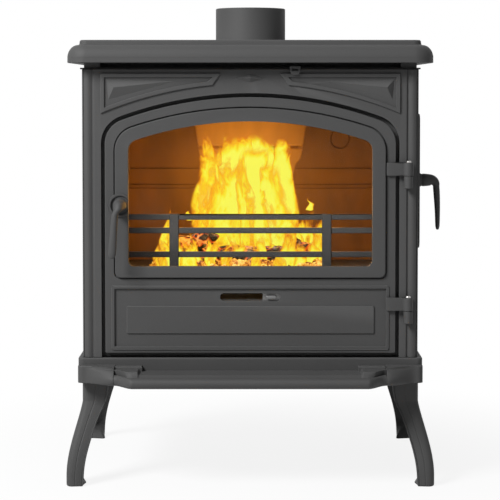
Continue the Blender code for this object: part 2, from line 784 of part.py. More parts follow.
def lip_section(x):
    """One section of the ash lip at x: the tray, the cove before it and the round nose."""
    reach = abs(x)
    sweep = ease((SEAM_X - reach) / (SEAM_X - LIP_FULL_X))
    front = SEAM_PROUD + (LIP_PROUD - SEAM_PROUD) * sweep
    raised = ease((reach - LIP_STEP_X) / LIP_STEP_RUN)
    skirt_top = BASE_TOP - BASE_STEP
    ledge = skirt_top - LIP_LEDGE_DROP
    floor = BASE_TOP - LIP_TRAY_DROP + (ledge - BASE_TOP + LIP_TRAY_DROP) * raised
    back = BASE_MARGIN / 2 + SEAT
    nose_y = front - LIP_NOSE_RADIUS
    nose_z = BASE_BOTTOM + LIP_NOSE_RADIUS
    edge = min(LIP_TRAY_FRONT, nose_y - LIP_COVE_RUN)
    meet = math.radians(LIP_COVE_ANGLE)
    points = [(-back, BASE_BOTTOM + LIP_NOSE_RADIUS), (-back, floor), (-edge, floor)]
    radius = LIP_NOSE_RADIUS
    cove_end = Vector((-nose_y + radius * math.cos(meet), nose_z + radius * math.sin(meet)))
    for i in range(1, 4):
        share = i / 4
        run = -edge + (cove_end.x + edge) * share
        drop = floor + (cove_end.y - floor) * math.sin(share * math.pi / 2)
        points.append((run, drop))
    points += arc((-nose_y, nose_z), LIP_NOSE_RADIUS, LIP_COVE_ANGLE, 270, 8)
    points.append((-edge + LIP_UNDER_RUN, BASE_BOTTOM + LIP_UNDER_RISE))
    return [Vector((x, y, z)) for y, z in points]


def build_lip(body):
    """The ash lip that hangs before the base, between its two swept corners."""
    half = SEAM_X - SEAT
    stops = [half + (LIP_FULL_X - half) * i / LIP_SWEEP_STEPS for i in range(LIP_SWEEP_STEPS + 1)]
    stops += [LIP_STEP_X + LIP_STEP_RUN, LIP_STEP_X, LIP_PLAIN_X]
    xs = [-s for s in stops] + list(reversed(stops))
    lip = body.piece("ash_lip", loft([lip_section(x) for x in xs]), smooth=40)
    rear = -BASE_MARGIN / 2 - SEAT
    for sign, side in ((-1, "left"), (1, "right")):
        shelf = block(
            sorted((sign * (LIP_FULL_X - LIP_SHELF_PAST), sign * half)),
            (rear - LIP_SHELF_DEPTH, rear),
            (BASE_TOP - LIP_TRAY_DROP - BITE, BASE_TOP - BASE_STEP),
        )
        join(lip, shelf, f"{side}_shelf")


# Legs


def leg_width(z):
    """How wide the leg's two flanges are at a height."""
    if z >= LEG_ANKLE_Z:
        share = ease((z - LEG_ANKLE_Z) / (LEG_HEIGHT - LEG_ANKLE_Z - LEG_PAD))
        return LEG_ANKLE_WIDTH + (LEG_TOP_WIDTH - LEG_ANKLE_WIDTH) * share
    return LEG_FOOT_WIDTH + (LEG_ANKLE_WIDTH - LEG_FOOT_WIDTH) * z / LEG_ANKLE_Z


def leg_flare(z):
    """How far the leg stands out from its top at a height."""
    share = min(max((LEG_FLARE_TOP - z) / (LEG_FLARE_TOP - LEG_FLARE_END), 0.0), 1.0)
    return LEG_FLARE * math.sin(math.pi / 2 * share ** LEG_FLARE_SHAPE)


def leg_section(z):
    """A rolled angle section with a beaded edge, whose outer corner is at the origin before the flare."""
    width = leg_width(z)
    out = leg_flare(z)
    crease = width * LEG_CREASE_SHARE
    bevel = LEG_WALL + LEG_INNER_BEVEL
    sole = max(LEG_SOLE_HEIGHT - z, 0.0) / LEG_SOLE_HEIGHT

    def fall(u):
        """How far the rolled face lies behind the corner at u."""
        share = (u - LEG_CORNER_RADIUS) / (width - LEG_CORNER_RADIUS)
        return LEG_ROLL * (1 - math.cos(math.pi / 2 * share))

    neck = width - LEG_BEAD_WIDTH
    front = [(width, LEG_ROLL - LEG_BEAD), (neck, LEG_ROLL - LEG_BEAD), (neck, fall(neck))]
    for step in (1, 0, -1):
        u = crease + step * LEG_CREASE_HALF
        front.append((u, fall(u) + (0.0 if step else LEG_CREASE)))
    corner = arc((LEG_CORNER_RADIUS, LEG_CORNER_RADIUS), LEG_CORNER_RADIUS, 270, 180, 4)
    side = [(v, u) for u, v in reversed(front)]
    past = (width + LEG_SOLE_PAST - bevel) * sole
    near, far = LEG_WALL + past, bevel + past
    inner = [(LEG_WALL, width), (near, far), (far, near), (width, LEG_WALL)]
    return [Vector((u - out, v - out, z)) for u, v in front + corner + side + inner]


def leg_mesh(x_sign, y_sign, corner):
    """One leg, with its flanges facing into the stove from its own corner."""
    levels = [LEG_FLARE_TOP * i / LEG_STEPS for i in range(LEG_STEPS + 1)]
    rings = []
    for z in levels + [LEG_HEIGHT - LEG_PAD, LEG_HEIGHT]:
        x = corner[0] + x_sign * LEG_OUTSET * (1 - leg_flare(z) / LEG_FLARE)
        section = leg_section(z)
        rings.append([Vector((x - x_sign * p.x, corner[1] - y_sign * p.y, p.z)) for p in section])
    return loft(rings)


def build_legs(body):
    """Four flared legs, each with a bolting pad that fills its angle at the top."""
    for y_sign, end in ((-1, "front"), (1, "rear")):
        y = LEG_SETBACK if y_sign < 0 else BODY_DEPTH - LEG_SETBACK
        for x_sign, side in ((-1, "left"), (1, "right")):
            x = x_sign * BODY_HALF_WIDTH
            leg = body.piece(f"leg_{end}_{side}", leg_mesh(x_sign, y_sign, (x, y)), smooth=28)
            inner = LEG_TOP_WIDTH - BITE
            wall = LEG_WALL - BITE
            pad_x = sorted((x + x_sign * (LEG_OUTSET - wall), x + x_sign * (LEG_OUTSET - inner)))
            pad_y = sorted((y - y_sign * wall, y - y_sign * inner))
            join(leg, block(pad_x, pad_y, (LEG_HEIGHT - LEG_PAD, LEG_HEIGHT)), "pad")


# Shell


def post_profile():
    """The front casting from above: flat face, grooved and reeded corner posts, returns at the sides."""
    side = BODY_HALF_WIDTH
    groove = POST_GROOVE
    bead = side - BEAD_WIDTH
    half = [(0.0, 0.0), (POST_GROOVE_X - groove, 0.0), (POST_GROOVE_X, groove)]
    half += bowed((POST_GROOVE_X + REED_START, REED_RISE), (bead, REED_RISE), REED_RISE, 4)
    half += [(bead + BEAD_NOTCH_WIDTH, REED_RISE + BEAD_NOTCH)]
    half += arc((side - BEAD_RADIUS, REED_RISE + BEAD_SETBACK), BEAD_RADIUS, 270, 360, 2)
    half += [(side, POST_DEPTH), (side - POST_WALL, POST_DEPTH), (side - POST_WALL, FACE_THICKNESS)]
    return half + mirrored(half)[:-1]


def spandrel_outline(inset):
    """The raised spandrel to the right of the arch, moved in by inset."""
    opening_radius = DOOR_ARCH_RADIUS + DOOR_GAP
    radius = opening_radius + SPANDREL_ARCH_OFFSET + inset
    centre = DOOR_APEX - DOOR_ARCH_RADIUS
    outer = SPANDREL_OUTER_X - inset
    top = SPANDREL_TOP - inset
    slope = SPANDREL_SLOPE / (SPANDREL_TOP - centre - opening_radius - SPANDREL_ARCH_OFFSET)
    tip_top = SPANDREL_INNER_X + inset * (SPANDREL_TIP_BORDER + slope)
    tip = tip_top + SPANDREL_SLOPE * (1 - 2 * inset / (SPANDREL_TOP - centre - opening_radius))
    points = [(outer, top), (tip_top, top)]
    start = math.degrees(math.acos(tip / radius))
    end = math.degrees(math.acos(outer / radius))
    return points + arc((0.0, centre), radius, start, end, 8)


def ornament(casting):
    """Raised spandrels with a faceted pyramid in each, and a diamond between them."""
    outer, inner = spandrel_outline(0.0), spandrel_outline(SPANDREL_BORDER)
    top = SPANDREL_TOP - SPANDREL_BORDER
    field = SPANDREL_OUTER_X - SPANDREL_BORDER
    foot = inner[-1][1]
    base = [
        (field - PYRAMID_MARGIN, top - PYRAMID_MARGIN),
        (PYRAMID_TAIL_X, top - PYRAMID_TAIL_DROP),
        (field - PYRAMID_FOOT_MARGIN, foot + PYRAMID_FOOT_RISE),
    ]
    apex = (field - PYRAMID_PEAK_MARGIN, (top + foot) / 2 + PYRAMID_PEAK_RISE)
    for sign, side in ((-1, "left"), (1, "right")):
        edge, field_edge, foot_edge = ([(sign * u, v) for u, v in line] for line in (outer, inner, base))
        join(casting, ring(edge, field_edge, "Y", -SPANDREL_RISE, BITE), f"{side}_spandrel")
        join(casting, spike(foot_edge, (sign * apex[0], apex[1]), PYRAMID_RISE), f"{side}_pyramid")
    w, h = DIAMOND_HALF_WIDTH, DIAMOND_HALF_HEIGHT
    diamond = [(-w, DIAMOND_Z), (0.0, DIAMOND_Z - h), (w, DIAMOND_Z), (0.0, DIAMOND_Z + h)]
    join(casting, spike(diamond, (0.0, DIAMOND_Z), DIAMOND_RISE), "diamond")


def spike(base, apex, rise):
    """A low pyramid that stands out of the face of the front casting."""
    shape = bmesh.new()
    foot = [shape.verts.new(Vector((u, BITE, v))) for u, v in base]
    shoulder = [shape.verts.new(Vector((u, 0.0, v))) for u, v in base]
    tip = shape.verts.new(Vector((apex[0], -rise, apex[1])))
    shape.faces.new(foot)
    count = len(base)
    for i in range(count):
        j = (i + 1) % count
        shape.faces.new((foot[i], foot[j], shoulder[j], shoulder[i]))
        shape.faces.new((shoulder[i], shoulder[j], tip))
    return to_mesh(shape, "spike")


def build_front_frame(body):
    """The front casting, with its door recess, the landing for the door's rope and the ornament."""
    frame = body.piece("front_frame", prism(post_profile(), "Z", BODY_BOTTOM, BODY_TOP), smooth=30)
    recess = arched(
        DOOR_HALF_WIDTH + DOOR_GAP,
        BODY_BOTTOM - BITE,
        DOOR_APEX + DOOR_GAP,
        DOOR_ARCH_RADIUS + DOOR_GAP,
        DOOR_SHOULDER + DOOR_GAP,
        RECESS_FOOT,
    )
    cut(frame, prism(recess, "Y", -CUT_PAST, DOOR_RECESS), "door_recess")
    doorway = prism(door_outline(LANDING_LAP, DOORWAY_FOOT), "Y", DOOR_RECESS - BITE, POST_DEPTH)
    cut(frame, doorway, "doorway")
    ornament(frame)


def side_door_edges(inset):
    """The side door's edges, front, rear, bottom and top, moved in by inset."""
    return (
        SIDE_DOOR_FRONT + inset,
        SIDE_DOOR_REAR - inset,
        SIDE_DOOR_BOTTOM + inset,
        SIDE_DOOR_TOP - inset,
    )


def build_panels(body):
    """Side and back panels, with ledges inside for the hearth and the loading opening on the right."""
    front = POST_DEPTH + SEAT
    for sign, side in ((-1, "left"), (1, "right")):
        wall = sorted((sign * PANEL_INNER, sign * PANEL_OUTER))
        outline = box_outline(front, BODY_DEPTH, BODY_BOTTOM, BODY_TOP)
        panel = body.piece(f"{side}_side_panel", prism(outline, "X", *wall))
        ledge = sorted((sign * (PANEL_INNER - LEDGE_WIDTH), sign * (PANEL_INNER + BITE)))
        run = (front + LEDGE_MARGIN, BACK_INNER - LEDGE_MARGIN)
        join(panel, block(ledge, run, (HEARTH_Z - SEAT - LEDGE_HEIGHT, HEARTH_Z - SEAT)), "hearth_ledge")
        field_x = sorted((sign * (PANEL_OUTER - BITE), sign * (PANEL_OUTER + FIELD_RISE)))
        margin = FIELD_MARGIN
        if sign < 0:
            field_top = BODY_TOP - margin
        else:
            field_top = SIDE_DOOR_BOTTOM - margin / 2
            opening = rounded_box(*side_door_edges(SIDE_DOOR_LAP), SIDE_DOOR_RADIUS, 3)
            cut(panel, prism(opening, "X", PANEL_INNER - BITE, PANEL_OUTER + BITE), "loading_opening")
        field_z = (BODY_BOTTOM + margin, field_top)
        field = rounded_box(front + margin, BODY_DEPTH - margin, *field_z, CORE_CORNER, 3)
        join(panel, prism(field, "X", *field_x), "raised_field")
    half = PANEL_INNER - SEAT
    back = body.piece("back_panel", block((-half, half), (BACK_INNER, BACK_OUTER), (BODY_BOTTOM, BODY_TOP)))
    margin = FIELD_MARGIN
    field_z = (BODY_BOTTOM + margin, BODY_TOP - margin)
    field = rounded_box(-half + margin, half - margin, *field_z, CORE_CORNER, 3)
    join(back, prism(field, "Y", BACK_OUTER - BITE, BACK_OUTER + FIELD_RISE), "raised_field")


def build_top(body):
    """The collar on the body, the moulded top plate on the collar and the flue spigot in its seat."""
    flange = box_outline(
        -COLLAR_FLANGE_HALF_WIDTH, COLLAR_FLANGE_HALF_WIDTH, COLLAR_FLANGE_FRONT, BODY_DEPTH + BASE_MARGIN
    )
    back = BODY_DEPTH - COLLAR_WALL
    wall = COLLAR_WALL
    opening = box_outline(
        -COLLAR_HALF_WIDTH + wall, COLLAR_HALF_WIDTH - wall, COLLAR_FRONT + wall, back - wall
    )
    half = COLLAR_HALF_WIDTH
    recess = half - COLLAR_CORNER_WIDTH
    outer = [(-half, COLLAR_CORNER_FRONT), (-recess, COLLAR_CORNER_FRONT), (-recess, COLLAR_FRONT)]
    outer += mirrored(outer) + [(half, back), (-half, back)]
    collar = body.piece("top_collar", prism(flange, "Z", FLANGE_BOTTOM, FLANGE_TOP))
    join(collar, prism(outer, "Z", FLANGE_TOP - BITE / 2, TOP_CEILING - SEAT), "upstand")
    cut(collar, prism(opening, "Z", FLANGE_BOTTOM - BITE, TOP_CEILING), "smoke_way")

    def level(inset, z):
        """The top plate's outline at one height of its moulding."""
        points = rounded_box(
            -TOP_HALF_WIDTH + inset,
            TOP_HALF_WIDTH - inset,
            -TOP_FRONT + inset,
            BODY_DEPTH + TOP_BACK - inset,
            TOP_CORNER_RADIUS - inset,
        )
        return [Vector((x, y, z)) for x, y in points]

    cove_z = TOP_SURFACE - TOP_COVE_DROP
    edge_top = TOP_BOTTOM + TOP_EDGE
    rings = [level(TOP_ARRIS, TOP_BOTTOM), level(0.0, TOP_BOTTOM + TOP_ARRIS), level(SEAT, edge_top)]
    for i in range(1, 6):
        angle = math.pi / 2 * i / 5
        rise = (cove_z - edge_top) * math.sin(angle)
        rings.append(level(TOP_SWELL * (1 - math.cos(angle)), edge_top + rise))
    rings.append(level(TOP_LEDGE - TOP_ARRIS, cove_z + TOP_ARRIS))
    for angle in (0, math.pi / 4, math.pi / 2):
        inset = TOP_LEDGE_ROUND * (1 - math.cos(angle))
        rings.append(level(TOP_LEDGE + inset, TOP_SURFACE - TOP_LEDGE_ROUND * (1 - math.sin(angle))))
    plate = body.piece("top_plate", loft(rings), smooth=30)
    inner = TOP_RIM
    hollow = rounded_box(
        -TOP_HALF_WIDTH + inner,
        TOP_HALF_WIDTH - inner,
        -TOP_FRONT + inner,
        BODY_DEPTH + TOP_BACK - inner,
        CORE_CORNER,
        3,
    )
    cut(plate, prism(hollow, "Z", TOP_BOTTOM - BITE, TOP_CEILING), "underside")
    flue = (0.0, FLUE_Y)
    bore = FLUE_RADIUS - FLUE_LEDGE
    seat_z = (TOP_SURFACE - FLUE_SEAT_DEPTH, TOP_SURFACE + CUT_PAST)
    cut(plate, cylinder("Z", flue, FLUE_RADIUS + SEAT, *seat_z, FLUE_STEPS), "seat")
    cut(plate, cylinder("Z", flue, bore, TOP_CEILING - BITE, TOP_SURFACE, FLUE_STEPS), "flue_way")
    inside = FLUE_RADIUS - FLUE_WALL
    profile = [
        (inside, SPIGOT_BOTTOM),
        (FLUE_RADIUS, SPIGOT_BOTTOM),
        (FLUE_RADIUS, SPIGOT_TOP - FLUE_CHAMFER),
        (FLUE_RADIUS - FLUE_CHAMFER, SPIGOT_TOP),
        (inside, SPIGOT_TOP),
    ]
    body.piece("flue_spigot", turned(profile, "Z", flue, FLUE_STEPS, hollow=True), smooth=35)


# Firebox


def build_firebox(body):
    """Hearth, grate, liners, fireback, baffle and the log guard before the fire."""
    half = PANEL_INNER - SEAT
    depth = (POST_DEPTH + SEAT + HEARTH_SETBACK, BACK_INNER - SEAT)
    hearth = body.piece("hearth_plate", block((-half, half), depth, (HEARTH_Z, HEARTH_TOP)), "dark_iron")
    grate_x = GRATE_HALF_WIDTH
    rebate = GRATE_REBATE
    grate_bottom = HEARTH_TOP - GRATE_THICKNESS
    seat = block(
        (-grate_x - SEAT, grate_x + SEAT),
        (GRATE_FRONT - SEAT, GRATE_REAR + SEAT),
        (grate_bottom - SEAT, HEARTH_TOP + BITE),
    )
    cut(hearth, seat, "grate_seat")
    throat = block(
        (-grate_x + rebate, grate_x - rebate),
        (GRATE_FRONT + rebate, GRATE_REAR - rebate),
        (HEARTH_Z - BITE, HEARTH_TOP),
    )
    cut(hearth, throat, "ash_throat")
    grate_block = block((-grate_x, grate_x), (GRATE_FRONT, GRATE_REAR), (grate_bottom, HEARTH_TOP))
    grate = body.piece("grate", grate_block, "dark_iron")
    pitch = (2 * grate_x - 2 * GRATE_EDGE) / GRATE_SLOTS
    for i in range(GRATE_SLOTS):
        x = -grate_x + GRATE_EDGE + pitch * (i + 0.5)
        slot = rounded_box(
            x - GRATE_SLOT_WIDTH / 2,
            x + GRATE_SLOT_WIDTH / 2,
            GRATE_FRONT + GRATE_EDGE,
            GRATE_REAR - GRATE_EDGE,
            GRATE_SLOT_WIDTH * ROUND_END,
            3,
        )
        cut(grate, prism(slot, "Z", grate_bottom - BITE, HEARTH_TOP + BITE), f"slot_{i + 1}")

    liner_back = FIREBACK_Y - SEAT
    for sign, side in ((-1, "left"), (1, "right")):
        wall = sorted((sign * LINER_INNER, sign * LINER_OUTER))
        outline = box_outline(depth[0], liner_back, LINER_BOTTOM, LINER_TOP)
        liner = body.piece(f"{side}_liner", prism(outline, "X", *wall), "liner")
        if sign > 0:
            opening = box_outline(*side_door_edges(SIDE_DOOR_LAP - LINER_OPENING_MARGIN))
            cut(liner, prism(opening, "X", wall[0] - BITE, wall[1] + BITE), "loading_opening")

    back_half = LINER_OUTER
    fireback_rear = FIREBACK_Y + LINER_THICKNESS
    slab = block((-back_half, back_half), (FIREBACK_Y, fireback_rear), (LINER_BOTTOM, LINER_TOP))
    fireback = body.piece("fireback", slab, "liner")
    for i, z in enumerate((UPPER_GROOVE_Z, MIDDLE_GROOVE_Z, LOWER_GROOVE_Z)):
        groove = block(
            (-back_half - BITE, back_half + BITE),
            (FIREBACK_Y - BITE, FIREBACK_Y + GROOVE_DEPTH),
            (z - GROOVE_WIDTH / 2, z + GROOVE_WIDTH / 2),
        )
        cut(fireback, groove, f"groove_{i + 1}")
    centre = (KNOCKOUT_X, KNOCKOUT_Z)
    mark = ring(
        arc(centre, KNOCKOUT_RADIUS, 0, 360 - 360 / KNOCKOUT_STEPS, KNOCKOUT_STEPS - 1),
        arc(centre, KNOCKOUT_RADIUS - GROOVE_WIDTH, 0, 360 - 360 / KNOCKOUT_STEPS, KNOCKOUT_STEPS - 1),
        "Y",
        FIREBACK_Y - BITE,
        FIREBACK_Y + GROOVE_DEPTH,
    )
    cut(fireback, mark, "knockout_ring")

    half_at_gap = CENTRE_GAP_HALF
    right_side = [
        (CENTRE_BOTTOM_HALF, CENTRE_BOTTOM),
        (CENTRE_STEP_HALF, CENTRE_STEP_Z),
        (CENTRE_STEP_HALF + CENTRE_STEP, CENTRE_STEP_Z + CENTRE_STEP / 2),
        (half_at_gap, CENTRE_GAP_Z),
        (half_at_gap, CENTRE_GAP_Z + CENTRE_GAP),
        (CENTRE_TOP_HALF, LINER_TOP),
    ]
    outline = right_side + mirrored(right_side)
    centre_front = FIREBACK_Y - SEAT - CENTRE_DEPTH
    middle = body.piece("fireback_centre", prism(outline, "Y", centre_front, FIREBACK_Y - SEAT), "liner")
    wall = LINER_THICKNESS
    channel_side = [
        (CENTRE_BOTTOM_HALF - wall, CENTRE_BOTTOM + wall),
        (CENTRE_STEP_HALF - wall, CENTRE_STEP_Z),
        (half_at_gap - wall, CENTRE_GAP_Z),
        (CENTRE_TOP_HALF - wall, LINER_TOP - wall),
    ]
    channel = prism(channel_side + mirrored(channel_side), "Y", centre_front + wall, FIREBACK_Y + BITE)
    cut(middle, channel, "air_channel")
    gap = block(
        (-half_at_gap - BITE, half_at_gap + BITE),
        (centre_front - BITE, centre_front + CENTRE_DEPTH / 3),
        (CENTRE_GAP_Z, CENTRE_GAP_Z + CENTRE_GAP),
    )
    cut(middle, gap, "air_gap")

    baffle_z = (LINER_TOP + SEAT, LINER_TOP + SEAT + BAFFLE_THICKNESS)
    baffle = block((-half, half), (BAFFLE_FRONT, fireback_rear), baffle_z)
    body.piece("baffle_plate", baffle, "liner")
    build_guard(body)


def build_guard(body):
    """The log guard: three bars on two posts that stand on the hearth."""
    reach = LINER_INNER - GUARD_END_GAP
    y = (GUARD_Y, GUARD_Y + GUARD_DEPTH)
    posts = (HEARTH_TOP + SEAT, max(GUARD_BARS) + GUARD_BAR / 2 - BITE / 2)
    first = block((-reach, reach), y, (GUARD_BARS[0] - GUARD_BAR / 2, GUARD_BARS[0] + GUARD_BAR / 2))
    guard = body.piece("log_guard", first, "dark_iron")
    for i, z in enumerate(GUARD_BARS[1:]):
        join(guard, block((-reach, reach), y, (z - GUARD_BAR / 2, z + GUARD_BAR / 2)), f"bar_{i + 2}")
    for sign, side in ((-1, "left"), (1, "right")):
        x = (sign * GUARD_POST_X - GUARD_POST_WIDTH / 2, sign * GUARD_POST_X + GUARD_POST_WIDTH / 2)
        post = block(x, (GUARD_Y - BITE / 2, GUARD_Y + GUARD_DEPTH + BITE / 2), posts)
        join(guard, post, f"{side}_post")


def build_ash_pan(body):
    """The ash pan on its runners, with a bent wire pull."""
    half = PAN_HALF_WIDTH
    rear = PAN_FRONT + PAN_DEPTH
    top = PAN_BOTTOM + PAN_HEIGHT
    pan = body.piece("ash_pan", block((-half, half), (PAN_FRONT, rear), (PAN_BOTTOM, top)), "sheet_steel")
    wall = PAN_WALL
    inside_z = (PAN_BOTTOM + wall, top + BITE)
    inside = block((-half + wall, half - wall), (PAN_FRONT + wall, rear - wall), inside_z)
    cut(pan, inside, "inside")
    pull_z = top - PAN_HEIGHT / 4
    half_pull = PAN_PULL_HALF_WIDTH
    pull_y = PAN_FRONT - PAN_PULL_REACH
    rod = 2 * PAN_PULL_RADIUS
    outer = rounded_box(-half_pull, half_pull, pull_y, PAN_FRONT + wall / 2, PAN_PULL_BEND, 1)
    bend = PAN_PULL_BEND / 2
    inner = rounded_box(-half_pull + rod, half_pull - rod, pull_y + rod, PAN_FRONT - SEAT, bend, 1)
    join(pan, ring(outer, inner, "Z", pull_z - PAN_PULL_RADIUS, pull_z + PAN_PULL_RADIUS), "pull")


# Front door


def build_front_door(body):
    """The door casting: window surround, lower panel with its tablet and slot, boss and rear rim."""
    door = body.piece("front_door", prism(door_outline(0.0), "Y", DOOR_FACE, DOOR_BACK), smooth=30)
    rim = ring(door_outline(0.0), door_outline(DOOR_RIM), "Y", DOOR_BACK - BITE, DOOR_BACK + DOOR_RIM_DEPTH)
    join(door, rim, "rim")
    surround = window_outline(SURROUND_WIDTH, drop=SURROUND_FOOT_WIDTH)
    join(door, prism(surround, "Y", SURROUND_FACE, DOOR_FACE + BITE), "surround")
    boss_y = (SURROUND_FACE - BOSS_RISE, DOOR_FACE + BITE)
    boss = cylinder("Y", (SPINDLE_X, SPINDLE_Z), BOSS_RADIUS, *boss_y, BOSS_STEPS)
    join(door, boss, "boss")
    cut(door, prism(window_outline(0.0), "Y", SURROUND_FACE - CUT_PAST, DOOR_BACK + BITE), "window")
    lower = rounded_box(-LOWER_HALF_WIDTH, LOWER_HALF_WIDTH, LOWER_BOTTOM, LOWER_TOP, LOWER_CORNER, 2)
    join(door, prism(lower, "Y", DOOR_FACE - LOWER_RISE, DOOR_FACE + BITE), "lower_rim")
    field = box_outline(
        -LOWER_HALF_WIDTH + LOWER_RIM_SIDE,
        LOWER_HALF_WIDTH - LOWER_RIM_SIDE,
        LOWER_BOTTOM + LOWER_RIM_BOTTOM,
        LOWER_TOP - LOWER_RIM_TOP,
    )
    floor = DOOR_FACE - LOWER_RISE + LOWER_SINK
    cut(door, prism(field, "Y", DOOR_FACE - CUT_PAST, floor), "lower_field")
    tablet = rounded_box(-TABLET_HALF_WIDTH, TABLET_HALF_WIDTH, TABLET_BOTTOM, TABLET_TOP, TABLET_CORNER, 1)
    join(door, prism(tablet, "Y", floor - TABLET_RISE, floor + BITE), "tablet")
    slot_z = (SLOT_Z - SLOT_HEIGHT / 2, SLOT_Z + SLOT_HEIGHT / 2)
    slot = rounded_box(-SLOT_HALF_LENGTH, SLOT_HALF_LENGTH, *slot_z, SLOT_HEIGHT * ROUND_END, 4)
    cut(door, prism(slot, "Y", DOOR_FACE - CUT_PAST, DOOR_BACK + BITE), "air_slot")
    hole_y = (SURROUND_FACE - CUT_PAST, DOOR_BACK + BITE)
    hole = cylinder("Y", (SPINDLE_X, SPINDLE_Z), SPINDLE_RADIUS + RUNNING, *hole_y, SMALL_STEPS)
    cut(door, hole, "spindle_hole")

    rope_inset = DOOR_RIM + SEAT + ROPE_RADIUS
    rope_y = DOOR_BACK + SEAT + ROPE_RADIUS
    rope_line = door_outline(rope_inset, ROPE_CORNER)
    body.piece("front_door_rope", rope_loop(rope_line, "Y", rope_y, ROPE_RADIUS), "rope", 60)
    glass_y = DOOR_BACK + SEAT
    glass = prism(window_outline(GLASS_LAP, GLASS_CORNER), "Y", glass_y, glass_y + GLASS_THICKNESS)
    body.piece("door_glass", glass, "glass")
    build_clips(body, glass_y)


def clip_profile(edge, inward, glass_y):
    """A clip's section: a foot on the door and a finger over the edge of the glass.

    edge is the height of the glass's edge and inward is 1 where the glass lies above it.
    """
    foot = edge - inward * (CLIP_FOOT + SEAT)
    rise = edge - inward * SEAT
    tip = edge + inward * CLIP_REACH
    low = glass_y
    high = glass_y + GLASS_THICKNESS + SEAT
    sheet = CLIP_THICKNESS
    return [
        (low, foot),
        (low, rise),
        (high, rise),
        (high, tip),
        (high + sheet, tip),
        (high + sheet, rise - inward * sheet),
        (low + sheet, rise - inward * sheet),
        (low + sheet, foot),
    ]


def build_clips(body, glass_y):
    """Four sheet clips that hold the glass against the back of the door."""
    bottom = WINDOW_BOTTOM - GLASS_LAP
    radius = WINDOW_ARCH_RADIUS + GLASS_LAP
    centre = WINDOW_APEX - WINDOW_ARCH_RADIUS
    for sign, side in ((-1, "left"), (1, "right")):
        x = (sign * CLIP_X - CLIP_WIDTH / 2, sign * CLIP_X + CLIP_WIDTH / 2)
        low = prism(clip_profile(bottom, 1, glass_y), "X", *x)
        body.piece(f"glass_clip_lower_{side}", low, "sheet_steel")
        far = CLIP_X - CLIP_WIDTH / 2
        head = centre + math.sqrt(radius ** 2 - far ** 2)
        high = prism(clip_profile(head, -1, glass_y), "X", *x)
        body.piece(f"glass_clip_upper_{side}", high, "sheet_steel")


def barrel(centre, radius, low, high, steps=ROUND_STEPS):
    """A hinge barrel with a bore for its pin, open at both ends."""
    bore = PIN_RADIUS + SEAT
    profile = [(bore, low), (radius, low), (radius, high), (bore, high)]
    return turned(profile, "Z", centre, steps, hollow=True)


def pin(body, name, centre, low, high):
    """A hinge pin that stands in both barrels, with a domed head on the upper one."""
    head = PIN_HEAD_RADIUS
    seat = high + SEAT
    dome = seat + PIN_HEAD_EDGE
    profile = [(0, low), (PIN_RADIUS, low), (PIN_RADIUS, seat), (head, seat), (head, dome)]
    for i in range(1, 4):
        angle = math.pi / 2 * i / 4
        profile.append((head * math.cos(angle), dome + PIN_HEAD_HEIGHT * math.sin(angle)))
    profile.append((0, dome + PIN_HEAD_HEIGHT))
    body.piece(name, turned(profile, "Z", centre, SMALL_STEPS), "steel", 40)


def build_front_hinges(frame_body, door_body):
    """Two hinges: a strap with a barrel on the door, a lug with a barrel on the casting and a pin."""
    centre = (HINGE_X, HINGE_Y)
    for z, level in ((UPPER_HINGE_Z, "upper"), (LOWER_HINGE_Z, "lower")):
        top = z + STRAP_HEIGHT
        strap = door_body.piece(f"front_hinge_strap_{level}", barrel(centre, HINGE_RADIUS, z, top), smooth=35)
        leaf_back = DOOR_FACE - SEAT - (LOWER_RISE if level == "lower" else 0.0)
        leaf = block(
            (STRAP_INNER_X, HINGE_X - PIN_RADIUS - SEAT - LEAF_CLEAR),
            (leaf_back - STRAP_THICKNESS, leaf_back),
            (z, top),
        )
        join(strap, leaf, "leaf")
        lug_top = z - RUNNING
        lug_low = lug_top - LUG_HEIGHT
        lug_barrel = barrel(centre, LUG_RADIUS, lug_low, lug_top)
        lug = frame_body.piece(f"front_hinge_lug_{level}", lug_barrel, smooth=35)
        foot = block(
            (HINGE_X - LUG_RADIUS * LUG_FOOT_SHARE, HINGE_X + LUG_RADIUS * LUG_FOOT_SHARE),
            (HINGE_Y + PIN_RADIUS + SEAT + LEAF_CLEAR, -SEAT),
            (lug_low, lug_top),
        )
        join(lug, foot, "foot")
        pin(frame_body, f"front_hinge_pin_{level}", centre, lug_low + PIN_STOP, top)


# Air slides


